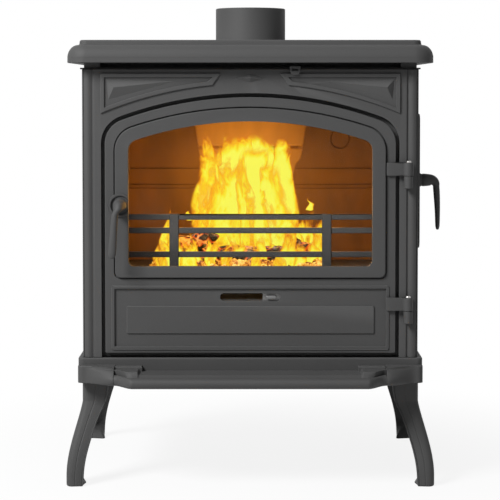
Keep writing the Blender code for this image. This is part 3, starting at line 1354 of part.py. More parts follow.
def build_lower_slide(door_body, slide_body):
    """The slide behind the lower slot, its knob through the slot, and the two rails that hold it."""
    y = DOOR_BACK + RUNNING
    z = (SLOT_Z - SLIDE_HEIGHT / 2, SLOT_Z + SLIDE_HEIGHT / 2)
    plate = block((KNOB_X - SLIDE_REACH, KNOB_X + SLIDE_REACH), (y, y + SLIDE_THICKNESS), z)
    slide = slide_body.piece("lower_air_slide", plate, "sheet_steel")
    port_end = KNOB_X - KNOB_LENGTH / 2 - PORT_MARGIN
    port_z = (SLOT_Z - SLOT_HEIGHT / 2, SLOT_Z + SLOT_HEIGHT / 2)
    port = rounded_box(KNOB_X - SLIDE_REACH + PORT_MARGIN, port_end, *port_z, PORT_CORNER, 2)
    cut(slide, prism(port, "Y", y - BITE, y + SLIDE_THICKNESS + BITE), "air_port")
    knob_face = DOOR_FACE - LOWER_RISE + LOWER_SINK - KNOB_PROUD
    knob = rounded_box(
        KNOB_X - KNOB_LENGTH / 2,
        KNOB_X + KNOB_LENGTH / 2,
        SLOT_Z - KNOB_HEIGHT / 2,
        SLOT_Z + KNOB_HEIGHT / 2,
        KNOB_CORNER,
        3,
    )
    join(slide, prism(knob, "Y", knob_face, y + SLIDE_THICKNESS / 2), "knob")
    lip_y = y + SLIDE_THICKNESS + RUNNING
    for sign, level in ((-1, "lower"), (1, "upper")):
        edge = SLOT_Z + sign * (SLIDE_HEIGHT / 2 + RUNNING)
        base = DOOR_BACK + SEAT
        profile = [
            (base, edge),
            (lip_y, edge),
            (lip_y, edge - sign * RAIL_LIP),
            (lip_y + RAIL_THICKNESS, edge - sign * RAIL_LIP),
            (lip_y + RAIL_THICKNESS, edge + sign * RAIL_LIP),
            (base, edge + sign * RAIL_LIP),
        ]
        rail = prism(profile, "X", -RAIL_LENGTH / 2, RAIL_LENGTH / 2)
        door_body.piece(f"slide_rail_{level}", rail, "sheet_steel")


def build_upper_slide(slide_body):
    """The upper air slide: a strip on the collar's flange, with a bent tab before the front casting."""
    low = FLANGE_TOP + RUNNING
    high = low + TAB_PLATE
    rear = COLLAR_FRONT - RUNNING
    strip_x = (TAB_X - UPPER_SLIDE_LENGTH / 2, TAB_X + UPPER_SLIDE_LENGTH / 2)
    strip = block(strip_x, (rear - UPPER_SLIDE_DEPTH, rear), (low, high))
    slide = slide_body.piece("upper_air_slide", strip, "sheet_steel")
    half = TAB_WIDTH / 2
    tongue_front = -TAB_PROUD - TAB_PLATE
    tongue_x = (TAB_X - TAB_TONGUE_HALF_WIDTH, TAB_X + TAB_TONGUE_HALF_WIDTH)
    tongue = block(tongue_x, (tongue_front, rear - UPPER_SLIDE_DEPTH + BITE), (low, high))
    join(slide, tongue, "tongue")
    bottom = high - TAB_DROP
    radius = TAB_CORNER
    tab = [(TAB_X - half, high), (TAB_X - half, bottom + radius)]
    tab += arc((TAB_X - half + radius, bottom + radius), radius, 180, 270, 4)[1:]
    tab += arc((TAB_X + half - radius, bottom + radius), radius, 270, 360, 4)
    tab += [(TAB_X + half, high)]
    join(slide, prism(tab, "Y", tongue_front, tongue_front + TAB_PLATE), "tab")
    slit_z = high - TAB_SLIT_DROP
    slit = block(
        (TAB_X - TAB_SLIT_HALF_LENGTH, TAB_X + TAB_SLIT_HALF_LENGTH),
        (tongue_front - BITE, tongue_front + TAB_PLATE + BITE),
        (slit_z - TAB_SLIT / 2, slit_z + TAB_SLIT / 2),
    )
    cut(slide, slit, "slit")


# Handles


def handle_rings(drop):
    """Rings of a handle that stands out along -Y from the origin and then hangs down.

    drop is how far the tip hangs below the spindle's axis.
    """
    stations = []
    for share in (0.0, 0.5, 1.0):
        radius = HUB_RADIUS + (HUB_END_RADIUS - HUB_RADIUS) * share
        stations.append((Vector((-RUNNING - (HUB_LENGTH - RUNNING) * share, 0.0)), 0.0, radius, radius))
    steps = 4
    for i in range(1, steps + 1):
        angle = math.pi / 2 * i / steps
        thick = HUB_END_RADIUS + (LEVER_THICKNESS / 2 - HUB_END_RADIUS) * i / steps
        wide = HUB_END_RADIUS + (LEVER_HALF_WIDTH - HUB_END_RADIUS) * i / steps
        run = LEVER_PROUD - HUB_LENGTH
        spot = Vector((-HUB_LENGTH - run * math.sin(angle), -run * (1 - math.cos(angle))))
        stations.append((spot, angle, thick, wide))
    elbow = stations[-1][0]
    for share in (0.25, 0.5, 0.75, LEVER_TIP_START, 1.0):
        z = elbow.y + (-drop - elbow.y) * share
        taper = ease(share) if share < LEVER_TIP_START else 1.0
        thick = (LEVER_THICKNESS + (LEVER_TIP_THICKNESS - LEVER_THICKNESS) * taper) / 2
        wide = LEVER_HALF_WIDTH + (LEVER_TIP_HALF_WIDTH - LEVER_HALF_WIDTH) * taper
        if share == 1.0:
            thick, wide = thick * LEVER_TIP_ROUND, wide * LEVER_TIP_ROUND
        bow = LEVER_BOW * math.sin(math.pi * share) + LEVER_LEAN * share
        stations.append((Vector((elbow.x - bow, z)), math.pi / 2, thick, wide))
    rings = []
    for spot, angle, thick, wide in stations:
        across = Vector((-math.sin(angle), math.cos(angle)))
        section = []
        for k in range(HANDLE_SIDES):
            turn = 2 * math.pi * k / HANDLE_SIDES
            offset = across * thick * math.sin(turn)
            section.append(Vector((wide * math.cos(turn), spot.x + offset.x, spot.y + offset.y)))
        rings.append(section)
    return rings


def build_front_handle(body):
    """The front door's handle, its spindle through the door and the tongue behind the catch."""
    boss_face = SURROUND_FACE - BOSS_RISE
    tilt = math.radians(LEVER_TILT)
    rings = []
    for section in handle_rings(LEVER_DROP):
        turned_section = []
        for p in section:
            x = p.x * math.cos(tilt) + p.z * math.sin(tilt)
            z = -p.x * math.sin(tilt) + p.z * math.cos(tilt)
            turned_section.append(Vector((x + SPINDLE_X, p.y + boss_face, z + SPINDLE_Z)))
        rings.append(turned_section)
    handle = body.piece("front_handle", loft(rings), smooth=50)
    centre = (SPINDLE_X, SPINDLE_Z)
    socket_end = boss_face - SPINDLE_SOCKET
    cut(handle, cylinder("Y", centre, SPINDLE_RADIUS + SEAT, socket_end, boss_face, SMALL_STEPS), "socket")
    rear = TONGUE_Y + TONGUE_THICKNESS + SPINDLE_PAST
    spindle = cylinder("Y", centre, SPINDLE_RADIUS, socket_end + SEAT, rear, SMALL_STEPS)
    body.piece("front_spindle", spindle, "steel", 40)
    half = TONGUE_HALF_WIDTH
    outline = arc(centre, TONGUE_EYE, -60, 60, ARC_STEPS) + [
        (SPINDLE_X - TONGUE_NECK, SPINDLE_Z + half),
        (SPINDLE_X - TONGUE_LENGTH, SPINDLE_Z + half),
        (SPINDLE_X - TONGUE_LENGTH, SPINDLE_Z - half),
        (SPINDLE_X - TONGUE_NECK, SPINDLE_Z - half),
    ]
    tongue = body.piece("front_tongue", prism(outline, "Y", TONGUE_Y, TONGUE_Y + TONGUE_THICKNESS), "steel")
    hole = cylinder("Y", centre, SPINDLE_RADIUS + SEAT, TONGUE_Y - BITE, rear + BITE, SMALL_STEPS)
    cut(tongue, hole, "spindle_hole")


def build_catch(body):
    """The wear plate behind the landing, which the front door's tongue turns onto."""
    inner = DOOR_HALF_WIDTH - LANDING_LAP
    x = (-inner - CATCH_WIDTH, -inner)
    z = (SPINDLE_Z - CATCH_HEIGHT / 2, SPINDLE_Z + CATCH_HEIGHT / 2)
    body.piece("front_catch", block(x, (CATCH_Y, CATCH_Y + CATCH_THICKNESS), z), "steel")


# Side door


def build_side_door(body):
    """The loading door in the right side, with a sunk field, its rope and two hinge straps."""
    outline = rounded_box(*side_door_edges(0.0), SIDE_DOOR_RADIUS)
    door = body.piece("side_door", prism(outline, "X", SIDE_DOOR_BACK, SIDE_DOOR_FACE), smooth=30)
    margin = SIDE_FIELD_MARGIN
    edges = list(side_door_edges(margin))
    edges[0] = SIDE_SPINDLE_Y + BOSS_RADIUS
    field = rounded_box(*edges, SIDE_DOOR_RADIUS / 2, 3)
    cut(door, prism(field, "X", SIDE_DOOR_FACE - SIDE_FIELD_SINK, SIDE_DOOR_FACE + BITE), "sunk_field")
    centre = (SIDE_SPINDLE_Y, SIDE_SPINDLE_Z)
    hole_x = (SIDE_DOOR_BACK - BITE, SIDE_DOOR_FACE + BITE)
    hole = cylinder("X", centre, SPINDLE_RADIUS + RUNNING, *hole_x, SMALL_STEPS)
    cut(door, hole, "spindle_hole")
    rope = rounded_box(*side_door_edges(SIDE_ROPE_INSET), SIDE_DOOR_RADIUS / 2)
    rope_x = PANEL_OUTER + SEAT + SIDE_ROPE_RADIUS
    body.piece("side_door_rope", rope_loop(rope, "X", rope_x, SIDE_ROPE_RADIUS), "rope", 60)


def build_side_hinges(panel_body, door_body):
    """Two hinges at the rear edge of the side door."""
    centre = (SIDE_HINGE_X, SIDE_HINGE_Y)
    half_foot = SIDE_HINGE_RADIUS * LUG_FOOT_SHARE
    low_z = SIDE_DOOR_BOTTOM + SIDE_HINGE_INSET
    high_z = SIDE_DOOR_TOP - SIDE_HINGE_INSET - SIDE_STRAP_HEIGHT
    for z, level in ((high_z, "upper"), (low_z, "lower")):
        top = z + SIDE_STRAP_HEIGHT
        name = f"side_hinge_strap_{level}"
        strap = door_body.piece(name, barrel(centre, SIDE_HINGE_RADIUS, z, top), smooth=35)
        face = SIDE_DOOR_FACE + SEAT
        leaf = block(
            (face, face + STRAP_THICKNESS),
            (SIDE_DOOR_REAR - SIDE_STRAP_REACH, SIDE_HINGE_Y),
            (z, top),
        )
        join(strap, leaf, "leaf")
        lug_top = z - RUNNING
        lug_low = lug_top - LUG_HEIGHT
        name = f"side_hinge_lug_{level}"
        lug = panel_body.piece(name, barrel(centre, SIDE_HINGE_RADIUS, lug_low, lug_top), smooth=35)
        foot = block(
            (PANEL_OUTER + SEAT, SIDE_HINGE_X - PIN_RADIUS - SEAT - LEAF_CLEAR),
            (SIDE_HINGE_Y - half_foot, SIDE_HINGE_Y + half_foot),
            (lug_low, lug_top),
        )
        join(lug, foot, "foot")
        pin(panel_body, f"side_hinge_pin_{level}", centre, lug_low + PIN_STOP, top)


def build_side_handle(body):
    """The side door's handle, its spindle and the tongue behind the panel."""
    hub = Vector((SIDE_DOOR_FACE, SIDE_SPINDLE_Y, SIDE_SPINDLE_Z))
    rings = []
    for section in handle_rings(SIDE_LEVER_DROP):
        rings.append([hub + Vector((-p.y, p.x, p.z)) for p in section])
    handle = body.piece("side_handle", loft(rings), smooth=50)
    centre = (SIDE_SPINDLE_Y, SIDE_SPINDLE_Z)
    socket_end = SIDE_DOOR_FACE + SPINDLE_SOCKET
    socket = cylinder("X", centre, SPINDLE_RADIUS + SEAT, SIDE_DOOR_FACE, socket_end, SMALL_STEPS)
    cut(handle, socket, "socket")
    tongue_outer = PANEL_INNER - RUNNING
    tongue_inner = tongue_outer - TONGUE_THICKNESS
    inner = tongue_inner - SPINDLE_PAST
    spindle = cylinder("X", centre, SPINDLE_RADIUS, inner, socket_end - SEAT, SMALL_STEPS)
    body.piece("side_spindle", spindle, "steel", 40)
    half = TONGUE_HALF_WIDTH
    length = SIDE_SPINDLE_Y - SIDE_DOOR_FRONT - SIDE_DOOR_LAP + SIDE_TONGUE_LAP
    outline = [
        (SIDE_SPINDLE_Y + TONGUE_EYE, SIDE_SPINDLE_Z + half),
        (SIDE_SPINDLE_Y - length, SIDE_SPINDLE_Z + half),
        (SIDE_SPINDLE_Y - length, SIDE_SPINDLE_Z - half),
        (SIDE_SPINDLE_Y + TONGUE_EYE, SIDE_SPINDLE_Z - half),
    ]
    tongue = body.piece("side_tongue", prism(outline, "X", tongue_inner, tongue_outer), "steel")
    hole = cylinder("X", centre, SPINDLE_RADIUS + SEAT, inner - BITE, tongue_outer + BITE, SMALL_STEPS)
    cut(tongue, hole, "spindle_hole")


def main():
    """Clears the scene and builds the stove."""
    for item in list(bpy.data.objects):
        bpy.data.objects.remove(item, do_unlink=True)
    middle_x = (LEVER_OUTER - FOOT_REACH) / 2
    middle_y = (BODY_DEPTH + TOP_BACK - LIP_PROUD) / 2
    stove = Body("stove", (0.0, 0.0, 0.0))
    stove.empty.location = (-middle_x, -middle_y, 0.0)
    front = Body("front_door_axis", (HINGE_X, HINGE_Y, 0.0), stove)
    lower = Body("lower_slide_way", (KNOB_X, DOOR_BACK, SLOT_Z), front)
    front_grip = Body("front_handle_axis", (SPINDLE_X, 0.0, SPINDLE_Z), front)
    side = Body("side_door_axis", (SIDE_HINGE_X, SIDE_HINGE_Y, 0.0), stove)
    side_grip = Body("side_handle_axis", (SIDE_DOOR_FACE, SIDE_SPINDLE_Y, SIDE_SPINDLE_Z), side)
    upper = Body("upper_slide_way", (TAB_X, 0.0, FLANGE_TOP), stove)

    build_base(stove)
    build_lip(stove)
    build_legs(stove)
    build_front_frame(stove)
    build_panels(stove)
    build_top(stove)
    build_firebox(stove)
    build_ash_pan(stove)
    build_catch(stove)
    build_front_door(front)
    build_front_hinges(stove, front)
    build_lower_slide(front, lower)
    build_upper_slide(upper)
    build_front_handle(front_grip)
    build_side_door(side)
    build_side_hinges(stove, side)
    build_side_handle(side_grip)


main()
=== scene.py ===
"""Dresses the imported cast-iron wood stove: finer castings, their finishes, and the fire behind the glass.

The sizes repeat those of the part, in metres and in the stove's own coordinates: X runs to the right from the
middle of the body, Y runs back from the face of the front casting, and Z is the height above the floor. Each
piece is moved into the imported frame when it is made.
"""

import sys
import logging
import math
import random
from collections.abc import Callable, Sequence
from dataclasses import dataclass, field
from enum import Enum
from typing import Any

import bmesh
import bpy
from mathutils import Matrix, Vector, noise


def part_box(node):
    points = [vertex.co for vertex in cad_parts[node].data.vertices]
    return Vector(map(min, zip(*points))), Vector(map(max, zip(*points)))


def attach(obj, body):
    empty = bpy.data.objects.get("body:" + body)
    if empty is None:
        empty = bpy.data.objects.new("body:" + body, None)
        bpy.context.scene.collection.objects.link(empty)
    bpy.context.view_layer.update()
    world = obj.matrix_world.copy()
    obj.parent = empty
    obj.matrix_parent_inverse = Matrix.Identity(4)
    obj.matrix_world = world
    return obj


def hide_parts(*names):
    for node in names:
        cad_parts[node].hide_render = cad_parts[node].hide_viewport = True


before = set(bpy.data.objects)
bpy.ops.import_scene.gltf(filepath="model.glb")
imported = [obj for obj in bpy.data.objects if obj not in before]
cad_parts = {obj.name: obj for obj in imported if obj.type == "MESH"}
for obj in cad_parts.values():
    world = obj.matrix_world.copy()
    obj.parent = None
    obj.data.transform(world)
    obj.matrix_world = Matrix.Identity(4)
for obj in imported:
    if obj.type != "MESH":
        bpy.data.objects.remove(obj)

LOG = logging.getLogger("stove")

Point = tuple[float, float]
Outline = list[Point]
Triple = tuple[float, float, float]
Quad = tuple[float, float, float, float]
Edges = Quad
Colour = Quad
Mesh = bpy.types.Mesh
Material = bpy.types.Material

SEAT = 0.0003  # between two pieces that rest on each other
RUNNING = 0.0006  # round a piece that turns or slides
BITE = 0.002  # how far a joined shape reaches into the one that carries it
CUT_PAST = 0.010  # how far a cutting shape runs past the face that it opens
ROUND_END = 0.4995  # share of a slot's width that rounds each of its ends
FACET = math.radians(9)  # edges from here up to a corner divide two facets
CORNER = math.radians(31)  # edges from here up get a round


# Outlines


def arc(centre: Point, radius: float, start: float, end: float, steps: int) -> Outline:
    """Walks along an arc.

    Args:
        centre: The arc's centre.
        radius: Its radius.
        start: The angle of the first point, in degrees.
        end: The angle of the last point, in degrees.
        steps: How many straight steps it takes.

    Returns:
        One point more than there are steps.
    """
    points = []
    for i in range(steps + 1):
        angle = math.radians(start + (end - start) * i / steps)
        points.append((centre[0] + radius * math.cos(angle), centre[1] + radius * math.sin(angle)))
    return points


def circle(centre: Point, radius: float, steps: int) -> Outline:
    """Gives a closed circle of as many points as steps, anticlockwise."""
    return arc(centre, radius, 0, 360 - 360 / steps, steps - 1)


def clamp(value: float) -> float:
    """Keeps a number between 0 and 1."""
    return min(max(value, 0.0), 1.0)


def ease(share: float) -> float:
    """Steps smoothly from 0 to 1."""
    share = clamp(share)
    return share * share * (3 - 2 * share)


def bowed(start: Point, end: Point, rise: float, steps: int) -> Outline:
    """Draws a shallow arch between two points.

    Args:
        start: Its first point.
        end: Its last point.
        rise: How far its middle stands off the straight line.
        steps: How many straight steps it takes.

    Returns:
        The points from start to end.
    """
    a, b = Vector(start), Vector(end)
    out = Vector(((b - a).y, -(b - a).x)).normalized()
    shares = [i / steps for i in range(steps + 1)]
    return [tuple(a.lerp(b, share) + out * rise * math.sin(math.pi * share)) for share in shares]


def rounded_box(left: float, right: float, low: float, high: float, radius: float, steps: int = 8) -> Outline:
    """Gives a rectangle with round corners.

    Args:
        left: Its left edge.
        right: Its right edge.
        low: Its lower edge.
        high: Its upper edge.
        radius: The radius of its corners.
        steps: How many steps each corner takes.

    Returns:
        Its points, anticlockwise from the lower left.
    """
    points = arc((left + radius, low + radius), radius, 180, 270, steps)
    points += arc((right - radius, low + radius), radius, 270, 360, steps)
    points += arc((right - radius, high - radius), radius, 0, 90, steps)
    points += arc((left + radius, high - radius), radius, 90, 180, steps)
    return points


def box_outline(left: float, right: float, low: float, high: float) -> Outline:
    """Gives a plain rectangle, anticlockwise from its lower left."""
    return [(left, low), (right, low), (right, high), (left, high)]


def mirrored(points: Sequence[Point]) -> Outline:
    """Gives the same outline on the other side of X = 0, still running the same way round."""
    return [(-u, v) for u, v in reversed(points)]


@dataclass(frozen=True)
class Arch:
    """An upright opening with a low arched head, round shoulders and round feet."""

    half_width: float
    bottom: float
    apex: float
    radius: float
    shoulder: float
    foot: float

    @property
    def centre(self) -> float:
        """The height of the arch's centre."""
        return self.apex - self.radius

    def outline(self, outset: float = 0.0, foot: float | None = None, drop: float | None = None) -> Outline:
        """Draws the opening.

        Args:
            outset: How far every edge is moved out.
            foot: Another radius for the two feet.
            drop: Another distance for the bottom edge.

        Returns:
            Its points, anticlockwise from the lower left.
        """
        foot = self.foot if foot is None else foot
        half, low = self.half_width + outset, self.bottom - (outset if drop is None else drop)
        radius, shoulder = self.radius + outset, self.shoulder + outset
        fillet_x = half - shoulder
        fillet_z = self.centre + math.sqrt((radius - shoulder) ** 2 - fillet_x ** 2)
        turn = math.degrees(math.atan2(fillet_z - self.centre, fillet_x))
        points = arc((-half + foot, low + foot), foot, 180, 270, 6)
        points += arc((half - foot, low + foot), foot, 270, 360, 6)
        points += arc((fillet_x, fillet_z), shoulder, 0, turn, 14)
        points += arc((0.0, self.centre), radius, turn, 180 - turn, 44)[1:-1]
        points += arc((-fillet_x, fillet_z), shoulder, 180 - turn, 180, 14)
        return points


# Meshes


class Axis(Enum):
    """The direction that an outline is pushed along."""

    X = "x"
    Y = "y"
    Z = "z"

    def place(self, u: float, v: float, height: float) -> Vector:
        """Sets an outline's point at a height along this axis.

        Args:
            u: Its first coordinate.
            v: Its second coordinate.
            height: The height.

        Returns:
            The point.
        """
        if self is Axis.X:
            return Vector((height, u, v))
        if self is Axis.Y:
            return Vector((u, height, v))
        return Vector((u, v, height))


def to_mesh(shape: bmesh.types.BMesh, name: str) -> Mesh:
    """Turns a bmesh into a mesh whose faces point out.

    Args:
        shape: The bmesh, which is freed.
        name: The mesh's name.

    Returns:
        The mesh.
    """
    bmesh.ops.recalc_face_normals(shape, faces=shape.faces)
    mesh = bpy.data.meshes.new(name)
    shape.to_mesh(mesh)
    shape.free()
    return mesh


def loft(rings: Sequence[Sequence[Vector]], closed: bool = False) -> Mesh:
    """Skins rings of as many points.

    Args:
        rings: The rings, in order.
        closed: Whether the last ring joins the first, or both get a flat face.

    Returns:
        A closed mesh.
    """
    shape = bmesh.new()
    loops = [[shape.verts.new(p) for p in ring] for ring in rings]
    count = len(loops[0])
    pairs = list(zip(loops, loops[1:]))
    if closed:
        pairs.append((loops[-1], loops[0]))
    else:
        shape.faces.new(list(reversed(loops[0])))
        shape.faces.new(loops[-1])
    for lower, upper in pairs:
        for i in range(count):
            j = (i + 1) % count
            shape.faces.new((lower[i], lower[j], upper[j], upper[i]))
    return to_mesh(shape, "loft")


def prism(outline: Sequence[Point], axis: Axis, low: float, high: float) -> Mesh:
    """Pushes an outline along an axis from low to high."""
    return loft([[axis.place(u, v, w) for u, v in outline] for w in (low, high)])


def block(x: Point, y: Point, z: Point) -> Mesh:
    """Makes a box from three (low, high) pairs, as a tool for a cut or a plain foot."""
    return prism(box_outline(x[0], x[1], y[0], y[1]), Axis.Z, z[0], z[1])


def quarter(radius: float, steps: int) -> Outline:
    """Gives a quarter round as (inset, drop) pairs, from its foot up to its face."""
    turns = [math.pi / 2 * i / steps for i in range(steps + 1)]
    return [(radius * (1 - math.cos(turn)), radius * (1 - math.sin(turn))) for turn in turns]


def domed(
    outline_at: Callable[[float], Outline],
    axis: Axis,
    foot: float,
    face: float,
    radius: float,
    steps: int = 4,
) -> Mesh:
    """Makes a raised shape whose face meets its sides in a quarter round.

    Args:
        outline_at: Gives the outline moved in by a distance.
        axis: The axis that the face is square to.
        foot: The height of its foot along the axis.
        face: The height of its face.
        radius: The radius of the quarter round.
        steps: How many steps the round takes.

    Returns:
        A closed mesh.
    """
    out = 1 if face > foot else -1
    rings = [[axis.place(u, v, foot) for u, v in outline_at(0.0)]]
    for inset, drop in quarter(radius, steps):
        rings.append([axis.place(u, v, face - out * drop) for u, v in outline_at(inset)])
    return loft(rings)


def raised_box(
    edges: Edges,
    corner: float,
    axis: Axis,
    foot: float,
    face: float,
    radius: float,
    steps: tuple[int, int],
) -> Mesh:
    """Makes a raised rectangle with round corners, whose face meets its sides in a quarter round.

    Args:
        edges: Its left, right, lower and upper edge.
        corner: The radius of its corners.
        axis: The axis that the face is square to.
        foot: The height of its foot along the axis.
        face: The height of its face.
        radius: The radius of the quarter round.
        steps: How many steps a corner and the quarter round take.

    Returns:
        A closed mesh.
    """
    left, right, low, high = edges

    def outline_at(inset: float) -> Outline:
        """Gives the rectangle moved in by a distance."""
        return rounded_box(left + inset, right - inset, low + inset, high - inset, corner, steps[0])

    return domed(outline_at, axis, foot, face, radius, steps[1])


def ring(outer: Sequence[Point], inner: Sequence[Point], axis: Axis, low: float, high: float) -> Mesh:
    """Pushes the space between two outlines of as many points along an axis."""
    sections = ((outer, low), (outer, high), (inner, high), (inner, low))
    return loft([[axis.place(u, v, w) for u, v in line] for line, w in sections], closed=True)


def turned(profile: Sequence[Point], axis: Axis, centre: Point, steps: int, hollow: bool = False) -> Mesh:
    """Turns a profile about an axis.

    Args:
        profile: (radius, height) points; a radius of 0 closes an end in one point.
        axis: The axis.
        centre: Where the axis crosses the plane square to it.
        steps: How many steps one turn takes.
        hollow: Whether the profile closes on itself.

    Returns:
        A closed mesh.
    """
    shape = bmesh.new()
    loops = []
    for radius, height in profile:
        points = [centre] if radius == 0 else circle(centre, radius, steps)
        loops.append([shape.verts.new(axis.place(u, v, height)) for u, v in points])
    pairs = list(zip(loops, loops[1:]))
    if hollow:
        pairs.append((loops[-1], loops[0]))
    for a, b in pairs:
        for i in range(steps):
            j = (i + 1) % steps
            corners = [a[i % len(a)], a[j % len(a)], b[j % len(b)], b[i % len(b)]]
            shape.faces.new(list(dict.fromkeys(corners)))
    if not hollow:
        for end in (loops[0], loops[-1]):
            if len(end) > 1:
                shape.faces.new(end)
    return to_mesh(shape, "turned")


def cylinder(axis: Axis, centre: Point, radius: float, low: float, high: float, steps: int = 24) -> Mesh:
    """Makes a plain round bar, as a tool for a bore."""
    return turned([(radius, low), (radius, high)], axis, centre, steps)


def spike(base: Sequence[Point], apex: Point, rise: float) -> Mesh:
    """Makes a low pyramid that stands out of the face of the front casting.

    Args:
        base: Its foot, in X and Z.
        apex: Where its tip stands, in X and Z.
        rise: How far its tip stands out.

    Returns:
        A closed mesh.
    """
    shape = bmesh.new()
    foot = [shape.verts.new(Vector((u, BITE, v))) for u, v in base]
    shoulder = [shape.verts.new(Vector((u, 0.0, v))) for u, v in base]
    tip = shape.verts.new(Vector((apex[0], -rise, apex[1])))
    shape.faces.new(foot)
    for i in range(len(base)):
        j = (i + 1) % len(base)
        shape.faces.new((foot[i], foot[j], shoulder[j], shoulder[i]))
        shape.faces.new((shoulder[i], shoulder[j], tip))
    return to_mesh(shape, "spike")


def rope_loop(outline: Sequence[Point], axis: Axis, height: float, radius: float, lay: float) -> Mesh:
    """Runs a closed round rope with a twisted surface along an outline.

    Args:
        outline: The line that it follows.
        axis: The axis that the line is square to.
        height: How high the line lies along the axis.
        radius: The rope's radius.
        lay: The distance between two rows of its knit.

    Returns:
        A closed mesh.
    """
    spots = [Vector(p) for p in outline]
    lengths = [0.0]
    for a, b in zip(spots, spots[1:] + spots[:1]):
        lengths.append(lengths[-1] + (b - a).length)
    rows = int(lengths[-1] / lay) * 2
    rings = []
    step = 0
    for i in range(rows):
        run = lengths[-1] * i / rows
        while lengths[step + 1] < run:
            step += 1
        a, b = spots[step], spots[(step + 1) % len(spots)]
        here = a.lerp(b, (run - lengths[step]) / (lengths[step + 1] - lengths[step]))
        along = (b - a).normalized()
        out = Vector((along.y, -along.x))
        full = radius if i % 2 else radius * 0.90
        section = []
        for u, v in circle((0.0, 0.0), full, 12):
            spot = here + out * u
            section.append(axis.place(spot.x, spot.y, height + v))
        rings.append(section)
    return loft(rings, closed=True)


# Shaders


class Signal:
    """A node's output, on which Python's operators add Math nodes."""

    def __init__(self, shader: "Shader", socket: bpy.types.NodeSocket) -> None:
        """Wraps one output socket of a shader."""
        self.shader = shader
        self.socket = socket

    def math(self, operation: str, first: "Signal | float", second: "Signal | float" = 0.0) -> "Signal":
        """Adds one Math node for two operands."""
        return self.shader.node("Math", {"operation": operation}, {0: first, 1: second})

    def __add__(self, other: "Signal | float") -> "Signal":
        """Adds a number or a signal."""
        return self.math("ADD", self, other)

    __radd__ = __add__

    def __sub__(self, other: "Signal | float") -> "Signal":
        """Takes a number or a signal away."""
        return self.math("SUBTRACT", self, other)

    def __rsub__(self, other: float) -> "Signal":
        """Takes this signal away from a number."""
        return self.math("SUBTRACT", other, self)

    def __mul__(self, other: "Signal | float") -> "Signal":
        """Multiplies by a number or a signal."""
        return self.math("MULTIPLY", self, other)

    __rmul__ = __mul__

    def __pow__(self, other: float) -> "Signal":
        """Raises to a power."""
        return self.math("POWER", self, other)

    def __abs__(self) -> "Signal":
        """Drops the sign."""
        return self.math("ABSOLUTE", self)


